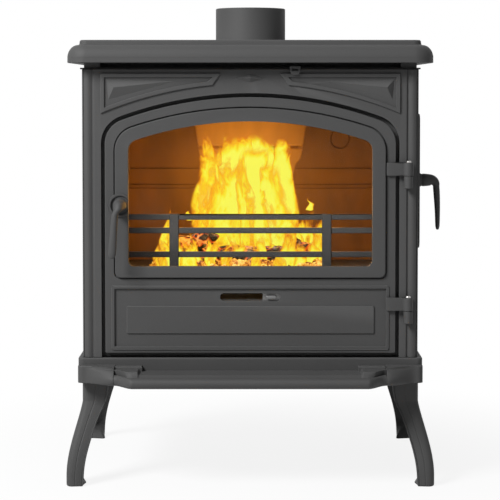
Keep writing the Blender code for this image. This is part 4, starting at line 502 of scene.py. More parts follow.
class Shader:
    """One material's nodes round its Principled surface."""

    def __init__(self, name: str) -> None:
        """Starts a material.

        Args:
            name: Its name.
        """
        self.material = bpy.data.materials.new(name)
        self.material.use_nodes = True
        self.tree = self.material.node_tree
        self.surface = self.tree.nodes["Principled BSDF"]

    def feed(self, socket: bpy.types.NodeSocket, value: Any) -> None:
        """Links a signal to a socket, or sets the socket's own value.

        Args:
            socket: The socket.
            value: The signal or the value.
        """
        if isinstance(value, Signal):
            self.tree.links.new(value.socket, socket)
        else:
            socket.default_value = value

    def node(
        self,
        kind: str,
        settings: dict[str, Any] | None = None,
        inputs: dict[int | str, Any] | None = None,
        output: int | str = 0,
    ) -> Signal:
        """Adds a node.

        Args:
            kind: Its type, without the words ShaderNode.
            settings: Its own settings, which are set first; stops are a ramp's (place, colour) pairs.
            inputs: Values or signals for its sockets, by place or by identifier.
            output: Which of its outputs is wanted.

        Returns:
            That output.
        """
        made = self.tree.nodes.new(f"ShaderNode{kind}")
        for key, value in (settings or {}).items():
            if key == "stops":
                self.fill_ramp(made.color_ramp, value)
            else:
                setattr(made, key, value)
        for key, value in (inputs or {}).items():
            self.feed(self.find(made.inputs, key), value)
        return Signal(self, self.find(made.outputs, output))

    @staticmethod
    def find(sockets: bpy.types.bpy_prop_collection, key: int | str) -> bpy.types.NodeSocket:
        """Finds a socket.

        Args:
            sockets: The sockets of one side of a node.
            key: Its place, its identifier or its name.

        Returns:
            The socket.
        """
        if isinstance(key, int):
            return sockets[key]
        return next(s for s in sockets if key in (s.identifier, s.name))

    @staticmethod
    def fill_ramp(ramp: bpy.types.ColorRamp, stops: Sequence[tuple[float, Colour]]) -> None:
        """Sets the stops of a ramp.

        Args:
            ramp: The ramp.
            stops: Its (place, colour) pairs.
        """
        while len(ramp.elements) < len(stops):
            ramp.elements.new(1.0)
        for element, (place, colour) in zip(ramp.elements, stops):
            element.position = place
            element.color = colour

    def ramp(self, factor: Signal, stops: Sequence[tuple[float, Colour]]) -> Signal:
        """Turns a number into a colour, by (place, colour) stops."""
        return self.node("ValToRGB", {"stops": stops}, {"Fac": factor}, "Color")

    def vector(self, operation: str, first: Any, second: Any) -> Signal:
        """Adds one Vector Math node for two operands."""
        return self.node("VectorMath", {"operation": operation}, {0: first, 1: second})

    def spot(self, stretch: Triple = (1.0, 1.0, 1.0)) -> Signal:
        """Gives the place on the piece in metres, with X, Y and Z multiplied by the stretch."""
        place = self.node("TexCoord", output="Object")
        return self.vector("MULTIPLY", place, stretch)

    def cloud(self, where: Signal, scale: float, detail: float = 3.0, rough: float = 0.5) -> Signal:
        """Adds a noise from 0 to 1, with scale patches to a metre; rough is how strong its detail is."""
        values = {"Vector": where, "Scale": scale, "Detail": detail, "Roughness": rough}
        return self.node("TexNoise", None, values, "Fac")

    def step(self, value: Signal, low: float, high: float) -> Signal:
        """Steps smoothly from 0 at low to 1 at high."""
        values = {"Value": value, "From Min": low, "From Max": high}
        return self.node("MapRange", {"interpolation_type": "SMOOTHSTEP"}, values, "Result")

    def mix(self, factor: Signal | float, first: Signal | Colour, second: Signal | Colour) -> Signal:
        """Mixes two colours."""
        values = {"Factor_Float": factor, "A_Color": first, "B_Color": second}
        return self.node("Mix", {"data_type": "RGBA"}, values, "Result_Color")

    def bump(self, height: Signal, strength: float, distance: float) -> Signal:
        """Turns a height from 0 to 1 into a normal; distance is how far 1 stands out, in metres."""
        values = {"Height": height, "Strength": strength, "Distance": distance}
        return self.node("Bump", None, values, "Normal")

    def edges(self, low: float, high: float) -> Signal:
        """Gives a mask of the outward edges, from the mesh's own curvature."""
        point = self.node("NewGeometry", output="Pointiness")
        return self.step(point, low, high)

    def dress(self, **sockets: Any) -> Material:
        """Sets the surface's sockets.

        Args:
            sockets: Values or signals by the socket's name, with _ for a space.

        Returns:
            The material.
        """
        for key, value in sockets.items():
            self.feed(self.surface.inputs[key.replace("_", " ")], value)
        return self.material


def grey(value: float, warmth: float = 0.0) -> Colour:
    """Gives a grey, with a little more red and less blue for its warmth."""
    return (value * (1 + warmth), value, value * (1 - warmth), 1.0)


@dataclass(frozen=True)
class Finish:
    """A finish of the stove, which gives its name to the material that it makes."""

    name: str

    def material(self) -> Material:
        """Makes the material."""
        raise NotImplementedError


@dataclass(frozen=True)
class StovePaint(Finish):
    """Matt graphite stove paint on sand-cast iron."""

    tone: float
    roughness: float
    grain: float = 0.30
    # how strongly convex edges are lightened: edge wear plus a painted highlight
    edge_wear_and_highlight: float = 0.35

    def material(self) -> Material:
        """Mottled grey with a fine cast grain, lighter along its edges from wear and a painted highlight.

        Returns:
            The material.
        """
        shader = Shader(self.name)
        spot = shader.spot()
        patches = shader.cloud(spot, 11.0, 4.0, 0.6)
        skin = shader.cloud(spot, 320.0, 3.0, 0.6)
        sand = shader.cloud(spot, 1300.0, 2.0, 0.6)
        base = shader.mix(patches, grey(self.tone * 0.92), grey(self.tone * 1.12))
        grained = shader.mix(shader.step(sand, 0.35, 0.75) * 0.35, base, grey(self.tone * 0.74))
        # Convex edges are lightened by pointiness: partly edge wear, partly a painted highlight where the
        # rounded edges catch the key light.
        surface_colour = shader.mix(shader.edges(0.515, 0.60) * self.edge_wear_and_highlight, grained, grey(self.tone * 2.0))
        height = skin * 0.55 + sand * 0.45
        return shader.dress(
            Base_Color=surface_colour,
            Roughness=(patches - 0.5) * 0.16 + (sand - 0.5) * 0.14 + self.roughness,
            Normal=shader.bump(height, self.grain, 0.0008),
            Specular_IOR_Level=0.25,
        )


@dataclass(frozen=True)
class FireIron(Finish):
    """Bare iron of the guard, the grate and the hearth, dulled by heat."""

    tone: float

    def material(self) -> Material:
        """Dark grey with ash dust in patches and a scaly skin.

        Returns:
            The material.
        """
        shader = Shader(self.name)
        spot = shader.spot()
        dust = shader.step(shader.cloud(spot, 26.0, 5.0, 0.65), 0.45, 0.70)
        scale = shader.cloud(spot, 420.0, 3.0)
        surface_colour = shader.mix(dust * 0.5, grey(self.tone, 0.02), grey(self.tone * 1.9, 0.08))
        return shader.dress(
            Base_Color=surface_colour,
            Metallic=0.35,
            Roughness=dust * 0.2 + (scale - 0.5) * 0.2 + 0.55,
            Normal=shader.bump(scale, 0.35, 0.0006),
        )


@dataclass(frozen=True)
class HotLiner(Finish):
    """The brown, heat-tinted iron that lines the firebox."""

    colour: Colour
    sooty: Colour
    fire: Triple
    # the colour of the firelight painted on the liner as emission
    firelight_colour: Colour
    reach: float

    def material(self) -> Material:
        """Brown with soot in upright streaks, and painted firelight that brightens close to the fire.

        Returns:
            The material.
        """
        shader = Shader(self.name)
        spot = shader.spot()
        soot = shader.cloud(shader.spot((1.0, 1.0, 0.35)), 22.0, 5.0, 0.62)
        skin = shader.cloud(spot, 260.0, 3.0, 0.6)
        brown = shader.mix(shader.step(soot, 0.40, 0.78) * 0.65, self.colour, self.sooty)
        grained = shader.mix((skin - 0.5) * 0.6 + 0.3, brown, self.colour)
        # Painted firelight: a warm emission that grows towards the fire and stands in for its light falling
        # on the liner.
        away = shader.node("VectorMath", {"operation": "DISTANCE"}, {0: spot, 1: self.fire}, "Value")
        near = (1 - shader.step(away, 0.0, self.reach)) ** 1.6
        painted_firelight = shader.mix(near * (1.2 - soot * 0.5), (0.0, 0.0, 0.0, 1.0), self.firelight_colour)
        return shader.dress(
            Base_Color=grained,
            Roughness=(skin - 0.5) * 0.2 + 0.80,
            Normal=shader.bump(skin * 0.6 + soot * 0.4, 0.35, 0.0010),
            Emission_Color=painted_firelight,
            Emission_Strength=1.0,
        )


@dataclass(frozen=True)
class CharredWood(Finish):
    """A log burnt to charcoal, with cracks that still glow."""

    def material(self) -> Material:
        """Black blocks with ash on top and orange between them.

        Returns:
            The material.
        """
        shader = Shader(self.name)
        blocks = shader.spot((1.0, 1.6, 1.6))
        values = {"Vector": blocks, "Scale": 42.0, "Randomness": 0.9}
        crack = shader.node("TexVoronoi", {"feature": "DISTANCE_TO_EDGE"}, values, "Distance")
        ash = shader.cloud(shader.spot(), 34.0, 5.0, 0.65)
        heat = shader.step(shader.cloud(shader.spot(), 14.0, 2.0), 0.42, 0.62)
        open_crack = (1 - shader.step(crack, 0.02, 0.16)) * heat
        stops = ((0.0, (0.0, 0.0, 0.0, 1.0)), (0.45, (0.75, 0.07, 0.005, 1.0)), (1.0, (1.0, 0.50, 0.06, 1.0)))
        fire = shader.ramp(open_crack, stops)
        skin = shader.mix(shader.step(ash, 0.46, 0.66), grey(0.012, 0.1), grey(0.24, 0.06))
        return shader.dress(
            Base_Color=skin,
            Roughness=0.9,
            Normal=shader.bump(shader.step(crack, 0.0, 0.25), 0.8, 0.003),
            Emission_Color=fire,
            Emission_Strength=1.0,
        )


@dataclass(frozen=True)
class GlowingCoal(Finish):
    """Embers that glow yellow between dull crusts."""

    def material(self) -> Material:
        """Yellow and orange lumps with dark and light brown crusts.

        Returns:
            The material.
        """
        shader = Shader(self.name)
        spot = shader.spot()
        lump = shader.cloud(spot, 55.0, 4.0, 0.6)
        fine = shader.cloud(spot, 190.0, 3.0, 0.6)
        heat = lump * 0.65 + fine * 0.35
        stops = (
            (0.36, (0.010, 0.004, 0.002, 1.0)),
            (0.45, (0.24, 0.040, 0.004, 1.0)),
            (0.51, (0.90, 0.32, 0.015, 1.0)),
            (0.58, (1.0, 0.72, 0.12, 1.0)),
            (0.68, (1.0, 0.92, 0.50, 1.0)),
        )
        fire = shader.ramp(heat, stops)
        crust = shader.mix(shader.step(fine, 0.4, 0.6), grey(0.02, 0.3), (0.20, 0.13, 0.07, 1.0))
        return shader.dress(
            Base_Color=crust,
            Roughness=0.92,
            Normal=shader.bump(heat, 0.7, 0.003),
            Emission_Color=fire,
            Emission_Strength=1.0,
        )


@dataclass(frozen=True)
class Flame(Finish):
    """A sheet of flame, torn into filaments.

    offset is where its pattern starts, core how solid its middle is, fill how full it is all over, point how
    much it narrows to its tip, and fall the share of its height from which it thins out.
    """

    offset: float
    core: float
    fill: float
    point: float
    fall: float

    def material(self) -> Material:
        """Glows from dark orange at its torn edges to yellow inside, and is clear between its strands.

        Returns:
            The material.
        """
        shader = Shader(self.name)
        parts = {0: shader.node("TexCoord", output="UV")}
        across = shader.node("SeparateXYZ", None, parts, "X")
        up = shader.node("SeparateXYZ", None, parts, "Y")
        place = shader.vector("ADD", shader.spot(), (self.offset,) * 3)
        sway = shader.node("TexNoise", None, {"Vector": place, "Scale": 11.0, "Detail": 2.0}, "Color")
        bend = shader.node("VectorMath", {"operation": "SCALE"}, {0: sway, "Scale": 0.085})
        swirl = shader.vector("ADD", shader.vector("MULTIPLY", place, (1.0, 1.0, 0.34)), bend)
        strands = shader.cloud(swirl, 58.0, 5.0, 0.62)
        licks = shader.cloud(swirl, 24.0, 2.0, 0.5)
        side = abs(across * 2.0 - 1.0) * (up * self.point + 1.0)
        body = 1.0 - side ** 3.0
        taper = (1.0 - shader.step(up, self.fall, 1.0)) * shader.step(up, 0.0, 0.06)
        heat = body * taper * self.core + (licks - 0.5) * 1.7 + (strands - 0.5) * 1.5 + self.fill
        stops = (
            (0.10, (0.40, 0.04, 0.0, 1.0)),
            (0.26, (0.90, 0.18, 0.004, 1.0)),
            (0.42, (1.0, 0.36, 0.010, 1.0)),
            (0.62, (1.0, 0.58, 0.020, 1.0)),
            (0.80, (1.0, 0.84, 0.035, 1.0)),
            (1.0, (1.0, 0.97, 0.10, 1.0)),
        )
        firelight_colour = shader.ramp(heat, stops)
        edge = shader.step(body * taper, 0.0, 0.25)
        return shader.dress(
            Base_Color=(0.0, 0.0, 0.0, 1.0),
            Roughness=1.0,
            Specular_IOR_Level=0.0,
            Emission_Color=firelight_colour,
            Emission_Strength=1.0,
            Alpha=shader.step(heat, 0.16, 0.68) * edge,
        )


@dataclass(frozen=True)
class StoveGlass(Finish):
    """Clear heat-proof glass with a breath of soot."""

    def material(self) -> Material:
        """Almost clear, with a thin haze in soft patches.

        Returns:
            The material.
        """
        shader = Shader(self.name)
        haze = shader.cloud(shader.spot(), 7.0, 4.0, 0.6)
        return shader.dress(
            Base_Color=shader.mix(haze, grey(0.05, 0.1), grey(0.10, 0.2)),
            Roughness=haze * 0.10 + 0.03,
            Alpha=shader.step(haze, 0.35, 0.80) * 0.04 + 0.02,
            IOR=1.47,
        )


@dataclass(frozen=True)
class TurnedSteel(Finish):
    """Bright turned steel of pins, spindles and tongues."""

    tone: float

    def material(self) -> Material:
        """Light grey metal with fine rings across its axis.

        Returns:
            The material.
        """
        shader = Shader(self.name)
        rings = shader.cloud(shader.spot((0.15, 0.15, 1.0)), 2600.0, 2.0)
        stain = shader.cloud(shader.spot(), 60.0, 3.0)
        return shader.dress(
            Base_Color=shader.mix(stain, grey(self.tone, 0.02), grey(self.tone * 0.7, 0.05)),
            Metallic=1.0,
            Roughness=(stain - 0.5) * 0.2 + 0.30,
            Normal=shader.bump(rings, 0.12, 0.0003),
        )


@dataclass(frozen=True)
class RolledSheet(Finish):
    """Rolled steel sheet, blued and lightly scratched."""

    tone: float

    def material(self) -> Material:
        """Dark metal with long rolling lines and cloudy scale.

        Returns:
            The material.
        """
        shader = Shader(self.name)
        lines = shader.cloud(shader.spot((0.05, 1.0, 1.0)), 1500.0, 2.0)
        scale = shader.cloud(shader.spot(), 45.0, 4.0, 0.6)
        return shader.dress(
            Base_Color=shader.mix(scale, grey(self.tone * 0.8, -0.03), grey(self.tone * 1.3, 0.03)),
            Metallic=0.85,
            Roughness=scale * 0.25 + lines * 0.1 + 0.30,
            Normal=shader.bump(lines, 0.10, 0.0003),
        )


@dataclass(frozen=True)
class KnittedRope(Finish):
    """Graphite-treated knitted glass rope."""

    def material(self) -> Material:
        """Dark grey yarn in a diagonal knit with a dull sheen.

        Returns:
            The material.
        """
        shader = Shader(self.name)
        settings = {"wave_type": "BANDS", "bands_direction": "DIAGONAL"}
        values = {"Vector": shader.spot(), "Scale": 240.0, "Distortion": 2.0}
        yarn = shader.node("TexWave", settings, values, "Fac")
        fluff = shader.cloud(shader.spot(), 700.0, 3.0)
        return shader.dress(
            Base_Color=shader.mix(yarn * 0.7 + fluff * 0.3, grey(0.035), grey(0.16)),
            Roughness=0.95,
            Normal=shader.bump(yarn * 0.7 + fluff * 0.3, 0.6, 0.0010),
            Sheen_Weight=0.3,
        )


class Slot(Enum):
    """The record's material slots, in the maker's words."""

    CAST = "cast_iron"
    DARK = "dark_iron"
    LINER = "liner"
    STEEL = "steel"
    SHEET = "sheet_steel"
    GLASS = "glass"
    ROPE = "rope"


# Making pieces


class Workshop:
    """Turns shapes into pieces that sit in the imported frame, with their finish and their body."""

    def __init__(self, place: Vector, finishes: dict[Slot, Finish]) -> None:
        """Keeps the place of the stove's own origin in the frame, and makes each slot's finish."""
        self.place = place
        self.materials = {slot: finish.material() for slot, finish in finishes.items()}

    def dress_nodes(self) -> None:
        """Gives every carried-over node the finish of its slot."""
        for name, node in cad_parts.items():
            for held in node.material_slots:
                kind = next((s for s in Slot if s.value in held.material.name), Slot.CAST)
                held.material = self.materials[kind]
            LOG.info("%s carried over in %s", name, kind.value)

    def add(
        self,
        name: str,
        mesh: Mesh,
        body: str,
        finish: Slot | Material,
        stands_for: Sequence[str] = (),
        smooth: float = 30.0,
    ) -> bpy.types.Object:
        """Adds a piece.

        Args:
            name: Its name.
            mesh: Its mesh, in the stove's coordinates.
            body: The body that it rides on.
            finish: Its slot, or a material of its own.
            stands_for: The nodes that it replaces.
            smooth: The angle up to which its faces are shaded as one, in degrees.

        Returns:
            The piece.
        """
        mesh.name = name
        mesh.transform(Matrix.Translation(self.place))
        mesh.materials.clear()
        mesh.materials.append(self.materials[finish] if isinstance(finish, Slot) else finish)
        mesh.shade_smooth()
        mesh.set_sharp_from_angle(angle=math.radians(smooth))
        piece = bpy.data.objects.new(name, mesh)
        bpy.context.scene.collection.objects.link(piece)
        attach(piece, body)
        if stands_for:
            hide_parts(*stands_for)
        LOG.info("%s made, on %s", name, body)
        return piece


@dataclass
class Casting:
    """A shape with what is joined to it and cut from it."""

    shape: Mesh
    steps: list[tuple[str, Mesh]] = field(default_factory=list)

    def join(self, mesh: Mesh) -> "Casting":
        """Joins a shape to it."""
        self.steps.append(("UNION", mesh))
        return self

    def cut(self, mesh: Mesh) -> "Casting":
        """Cuts a shape from it."""
        self.steps.append(("DIFFERENCE", mesh))
        return self

    def mesh(self) -> Mesh:
        """Works the shapes into one mesh.

        Returns:
            The finished mesh.
        """
        collection = bpy.context.scene.collection
        blank = bpy.data.objects.new("blank", self.shape)
        collection.objects.link(blank)
        tools = []
        for operation, shape in self.steps:
            tool = bpy.data.objects.new("tool", shape)
            collection.objects.link(tool)
            tools.append(tool)
            modifier = blank.modifiers.new("step", "BOOLEAN")
            modifier.operation = operation
            modifier.solver = "EXACT"
            modifier.object = tool
        graph = bpy.context.evaluated_depsgraph_get()
        made = bpy.data.meshes.new_from_object(blank.evaluated_get(graph))
        for item in [blank, *tools]:
            used = item.data
            bpy.data.objects.remove(item)
            bpy.data.meshes.remove(used)
        return made

    def piece(
        self,
        shop: Workshop,
        name: str,
        body: str,
        edge: float = 0.0008,
        finish: Slot = Slot.CAST,
        stands_for: Sequence[str] = (),
        segments: int = 2,
    ) -> None:
        """Makes the piece and rounds its edges.

        Args:
            shop: The workshop that adds it.
            name: Its name.
            body: The body that it rides on.
            edge: The width of the round along its sharp edges.
            finish: Its slot.
            stands_for: The nodes that it replaces.
            segments: How many steps the round takes.
        """
        piece = shop.add(name, self.mesh(), body, finish, stands_for)
        facets(piece.data)
        soften(piece, edge, segments)


def facets(mesh: Mesh) -> None:
    """Keeps low facets apart in the shading, and leaves the edges that get a round to their round.

    Args:
        mesh: The piece's mesh.
    """
    shape = bmesh.new()
    shape.from_mesh(mesh)
    for edge in shape.edges:
        edge.smooth = not (edge.is_manifold and FACET < edge.calc_face_angle() < CORNER)
    shape.to_mesh(mesh)
    shape.free()


def soften(piece: bpy.types.Object, edge: float, segments: int) -> None:
    """Rounds the sharp edges of a piece.

    Args:
        piece: The piece.
        edge: How wide the round is.
        segments: How many steps it takes.
    """
    bevel = piece.modifiers.new("edge_round", "BEVEL")
    bevel.width = edge
    bevel.segments = segments
    bevel.limit_method = "ANGLE"
    bevel.angle_limit = CORNER
    bevel.use_clamp_overlap = False
    bevel.miter_outer = "MITER_ARC"
    bevel.harden_normals = False
    shading = piece.modifiers.new("shading", "WEIGHTED_NORMAL")
    shading.weight = 60
    shading.keep_sharp = True


# The stove's shared sizes


@dataclass(frozen=True)
class Layout:
    """Sizes that several sub-assemblies share.

    spindle is in X and Z, side_spindle in Y and Z, and hinge in X and Y. side_door gives the front, rear,
    lower and upper edge of the loading door.
    """

    half_width: float = 0.334
    depth: float = 0.480
    base_bottom: float = 0.2083
    base_top: float = 0.2571
    body_bottom: float = 0.2574
    body_top: float = 0.8310
    panel_outer: float = 0.328
    panel_inner: float = 0.322
    post_depth: float = 0.034
    face_thickness: float = 0.024
    door_face: float = -0.004
    door_back: float = 0.006
    surround_face: float = -0.010
    boss_face: float = -0.013
    panel_floor: float = -0.0015
    spindle: Point = (-0.258, 0.562)
    side_door_face: float = 0.3426
    side_door_back: float = 0.3330
    side_spindle: Point = (0.110, 0.606)
    side_door: Edges = (0.060, 0.360, 0.470, 0.742)
    spindle_bore: float = 0.0056
    hinge: Point = (0.313, -0.012)
    slot_z: float = 0.3783
    firebox_bottom: float = 0.4130
    fireback_y: float = 0.400
    door: Arch = Arch(0.2885, 0.2670, 0.776, 0.742, 0.050, 0.002)
    window: Arch = Arch(0.242, 0.440, 0.728, 0.715, 0.022, 0.012)
    door_gap: float = 0.0075


@dataclass
class SubAssembly:
    """What every sub-assembly has: the workshop that adds its pieces, and the shared sizes."""

    shop: Workshop
    at: Layout

    def build(self) -> None:
        """Makes its pieces."""
        raise NotImplementedError


@dataclass
class Base(SubAssembly):
    """The base casting with its swept corners and the ash lip before it."""

    margin: float = 0.0095
    wall: float = 0.007
    skin: float = 0.006
    corner: float = 0.012
    step: float = 0.0143
    seam_x: float = 0.269
    seam_proud: float = 0.056
    sweep_end: float = -0.004
    lip_proud: float = 0.095
    lip_full_x: float = 0.229
    tray_drop: float = 0.025
    step_x: float = 0.217
    step_run: float = 0.005
    tray_front: float = 0.062
    nose: float = 0.0105
    cove_angle: float = 42.0
    cove_run: float = 0.008
    ledge_drop: float = 0.0045
    shelf: Point = (0.0145, 0.018)
    under: Point = (0.012, 0.0074)
    runner: tuple[float, float, float, float, float] = (0.110, 0.012, 0.026, 0.050, 0.320)
    nosing: Point = (0.0030, 0.0021)
    upper_edge: float = 0.003
    shelf_edge: float = 0.0025

    def nose_inset(self, z: float) -> float:
        """Gives how far the ash lip's section lies behind its nose, where it meets the base.

        Args:
            z: The height.

        Returns:
            The distance in Y.
        """
        rise = z - self.at.base_bottom - self.nose
        meet = math.radians(self.cove_angle)
        cove_foot = self.nose * math.sin(meet)
        if rise <= cove_foot:
            return self.nose - math.sqrt(max(self.nose ** 2 - rise ** 2, 0.0))
        height = self.at.base_top - self.at.base_bottom - self.step - self.ledge_drop - self.nose - cove_foot
        share = math.asin(min((rise - cove_foot) / height, 1.0)) * 2 / math.pi
        foot = self.nose * (1 - math.cos(meet))
        return foot + (self.nose + self.cove_run - foot) * share

    def outline(self, z: float, inset: float = 0.0) -> Outline:
        """Draws the base at a height, with its swept front corners.

        Args:
            z: The height.
            inset: How far its front and sides are moved in.

        Returns:
            Its points.
        """
        side = self.at.half_width + self.margin - inset
        back = self.at.depth + self.margin - inset
        radius = self.corner
        right = arc((side - radius, back - radius), radius, 0, 90, 8)
        sweep = []
        for i in range(29):
            share = i / 28
            x = self.seam_x + (side - radius - self.seam_x) * share
            fall = (self.seam_proud - radius + self.sweep_end) * ease(share)
            hollow = max(self.nose_inset(z) * (1 - ease(share)), inset)
            sweep.append((x, -self.seam_proud + fall + hollow))
        corner = arc((side - radius, self.sweep_end + inset), radius, 270, 360, 8)[1:]
        half = [(self.seam_x, -self.margin / 2)] + sweep + corner + right
        return half + mirrored(half)

    def casting(self) -> None:
        """Makes the base casting, open below, with two runners for the ash pan."""
        at = self.at
        side, back, front = at.half_width + self.margin, at.depth + self.margin, -self.margin / 2
        skirt_top = at.base_top - self.step
        high, deep = self.nosing
        plain = at.base_bottom + self.nose
        levels = [(plain - self.nose * math.cos(math.pi / 2 * i / 9), 0.0) for i in range(9)]
        levels += [(plain + (skirt_top - high - plain) * i / 16, 0.0) for i in range(16)]
        levels += [(skirt_top - drop, inset * deep / high) for inset, drop in quarter(high, 5)]
        base = Casting(loft([[Vector((x, y, z)) for x, y in self.outline(z, inset)] for z, inset in levels]))
        upper = (-side, side, front, back)
        foot, face = skirt_top - BITE, at.base_top
        base.join(raised_box(upper, self.corner, Axis.Z, foot, face, self.upper_edge, (8, 4)))
        run_x, width, height, start, length = self.runner
        for sign in (-1, 1):
            x = sorted((sign * run_x, sign * (run_x + width)))
            base.join(block(x, (start, start + length), (at.base_top - BITE, at.base_top + height)))
        hollow_x = (-side + self.wall, side - self.wall)
        hollow_y = (front + self.wall, back - self.wall)
        base.cut(block(hollow_x, hollow_y, (at.base_bottom - BITE, at.base_top - self.skin)))
        pad, setback = Legs.top_width, Legs.setback
        for sign in (-1, 1):
            x = sorted((sign * (side - self.wall - BITE), sign * (at.half_width - pad)))
            for y in ((front + BITE, setback + pad), (at.depth - setback - pad, back - BITE)):
                base.join(block(x, y, (at.base_bottom, at.base_top - self.skin + BITE)))
        base.piece(self.shop, "base_with_swept_corners", "root", 0.0007, stands_for=["base_casting"])

    def lip_section(self, x: float) -> list[Vector]:
        """Draws one section of the ash lip.

        Args:
            x: Where it is cut.

        Returns:
            The tray, the cove before it and the round nose, as points.
        """
        at = self.at
        reach = abs(x)
        sweep = ease((self.seam_x - reach) / (self.seam_x - self.lip_full_x))
        front = self.seam_proud + (self.lip_proud - self.seam_proud) * sweep
        raised = ease((reach - self.step_x) / self.step_run)
        floor = at.base_top - self.tray_drop + (self.tray_drop - self.step - self.ledge_drop) * raised
        back = self.margin / 2 + SEAT
        nose_y, nose_z = front - self.nose, at.base_bottom + self.nose
        edge = min(self.tray_front, nose_y - self.cove_run)
        meet = math.radians(self.cove_angle)
        points = [(-back, nose_z), (-back, floor), (-edge, floor)]
        end_y, end_z = -nose_y + self.nose * math.cos(meet), nose_z + self.nose * math.sin(meet)
        for i in range(1, 10):
            share = i / 10
            height = floor + (end_z - floor) * math.sin(share * math.pi / 2)
            points.append((-edge + (end_y + edge) * share, height))
        points += arc((-nose_y, nose_z), self.nose, self.cove_angle, 270, 20)
        points.append((-edge + self.under[0], at.base_bottom + self.under[1]))
        return [Vector((x, y, z)) for y, z in points]

    def lip(self) -> None:
        """Makes the ash lip between the base's two corners."""
        half = self.seam_x - SEAT
        stops = [half + (self.lip_full_x - half) * i / 16 for i in range(17)]
        stops += [self.step_x + self.step_run * (1 - i / 6) for i in range(7)]
        stops += [0.150, 0.050]
        xs = [-s for s in stops] + list(reversed(stops))
        lip = Casting(loft([self.lip_section(x) for x in xs]))
        past, deep = self.shelf
        rear, tray = -self.margin / 2 - SEAT, self.at.base_top - self.tray_drop
        for sign in (-1, 1):
            left, right = sorted((sign * (self.lip_full_x - past), sign * half))

            def shelf_at(inset: float, left: float = left, right: float = right) -> Outline:
                """Draws the shelf moved in at its two ends and its front."""
                return box_outline(left + inset, right - inset, rear - deep + inset, rear)

            top = self.at.base_top - self.step
            lip.join(domed(shelf_at, Axis.Z, tray - BITE, top, self.shelf_edge))
        lip.piece(self.shop, "ash_lip_with_round_nose", "root", 0.0006, stands_for=["ash_lip"])

    def build(self) -> None:
        """Makes the base casting and the ash lip."""
        self.casting()
        self.lip()


@dataclass
class Legs(SubAssembly):
    """Four flared legs of a rolled angle section with beaded edges."""

    height: float = 0.208
    setback: float = 0.018
    outset: float = 0.0035
    top_width: float = 0.052
    ankle_width: float = 0.0395
    foot_width: float = 0.034
    ankle: float = 0.120
    flare: float = 0.0335
    flare_top: float = 0.166
    flare_end: float = 0.020
    flare_shape: float = 1.2
    wall: float = 0.010
    corner: float = 0.012
    crease: Triple = (0.0008, 0.0016, 0.52)
    roll: float = 0.0035
    bead: Point = (0.0014, 0.0035)
    bevel: float = 0.004
    sole: Point = (0.044, 0.005)
    pad: float = 0.009
    chamfer: Point = (0.0008, 0.0006)
    sole_round: Point = (0.14, 0.005)

    def width(self, z: float) -> float:
        """Gives the width of both flanges.

        Args:
            z: The height.

        Returns:
            The width.
        """
        if z >= self.ankle:
            share = ease((z - self.ankle) / (self.height - self.ankle - self.pad))
            return self.ankle_width + (self.top_width - self.ankle_width) * share
        return self.foot_width + (self.ankle_width - self.foot_width) * z / self.ankle

    def reach(self, z: float) -> float:
        """Gives how far the leg stands out from its top at a height."""
        share = clamp((self.flare_top - z) / (self.flare_top - self.flare_end))
        return self.flare * math.sin(math.pi / 2 * share ** self.flare_shape)

    def section(self, z: float) -> Outline:
        """Draws the angle section at a height, with its outer corner at the flare.

        Args:
            z: The height.

        Returns:
            Its points, drawn in a little towards the sole's rounded foot.
        """
        width, out = self.width(z), self.reach(z)
        depth, half, share = self.crease
        rise, strip = self.bead
        inside = self.wall + self.bevel

        def fall(u: float) -> float:
            """Gives how far the rolled face lies behind the corner at u."""
            return self.roll * (1 - math.cos(math.pi / 2 * (u - self.corner) / (width - self.corner)))

        face, neck = self.roll - rise, width - strip
        cut_u, cut_v = self.chamfer
        front = [(width, face + cut_v), (width - cut_u, face), (neck + cut_u, face), (neck, face + cut_v)]
        front.append((neck, fall(neck)))
        for i in range(25):
            u = neck + (self.corner - neck) * (i + 1) / 26
            groove = 0.5 + 0.5 * math.cos(math.pi * clamp(abs(u - width * share) / half))
            front.append((u, fall(u) + depth * groove))
        corner = arc((self.corner, self.corner), self.corner, 270, 180, 14)
        side = [(v, u) for u, v in reversed(front)]
        past = (width + self.sole[1] - inside) * max(self.sole[0] - z, 0.0) / self.sole[0]
        near, far = self.wall + past, inside + past
        inner = [(self.wall, width), (near, far), (far, near), (width, self.wall)]
        most, rounded = self.sole_round
        drawn = most * (1 - math.sqrt(clamp(1 - (1 - clamp(z / rounded)) ** 2)))
        line = front + corner + side + inner
        middle = width / 2
        return [(u + (middle - u) * drawn - out, v + (middle - v) * drawn - out) for u, v in line]

    def build(self) -> None:
        """Makes the four legs, each with a bolting pad in its angle."""
        foot = self.sole_round[1]
        levels = [0.0, foot * 0.16, foot * 0.40, foot * 0.70, foot]
        levels += [foot + (self.flare_top - foot) * i / 34 for i in range(1, 35)]
        levels += [self.flare_top + (self.height - self.flare_top) * i / 6 for i in range(1, 7)]
        for y_sign, end in ((-1, "front"), (1, "rear")):
            y = self.setback if y_sign < 0 else self.at.depth - self.setback
            for x_sign, side in ((-1, "left"), (1, "right")):
                rings = []
                for z in levels:
                    x = x_sign * (self.at.half_width + self.outset * (1 - self.reach(z) / self.flare))
                    rings.append([Vector((x - x_sign * u, y - y_sign * v, z)) for u, v in self.section(z)])
                x = x_sign * (self.at.half_width + self.outset)
                inner, wall = self.top_width - BITE, self.wall - BITE
                pad_x = sorted((x - x_sign * wall, x - x_sign * inner))
                pad_y = sorted((y - y_sign * wall, y - y_sign * inner))
                leg = Casting(loft(rings)).join(block(pad_x, pad_y, (self.height - self.pad, self.height)))
                name, node = f"{end}_{side}_flared_leg", f"leg_{end}_{side}"
                leg.piece(self.shop, name, "root", 0.0006, stands_for=[node])


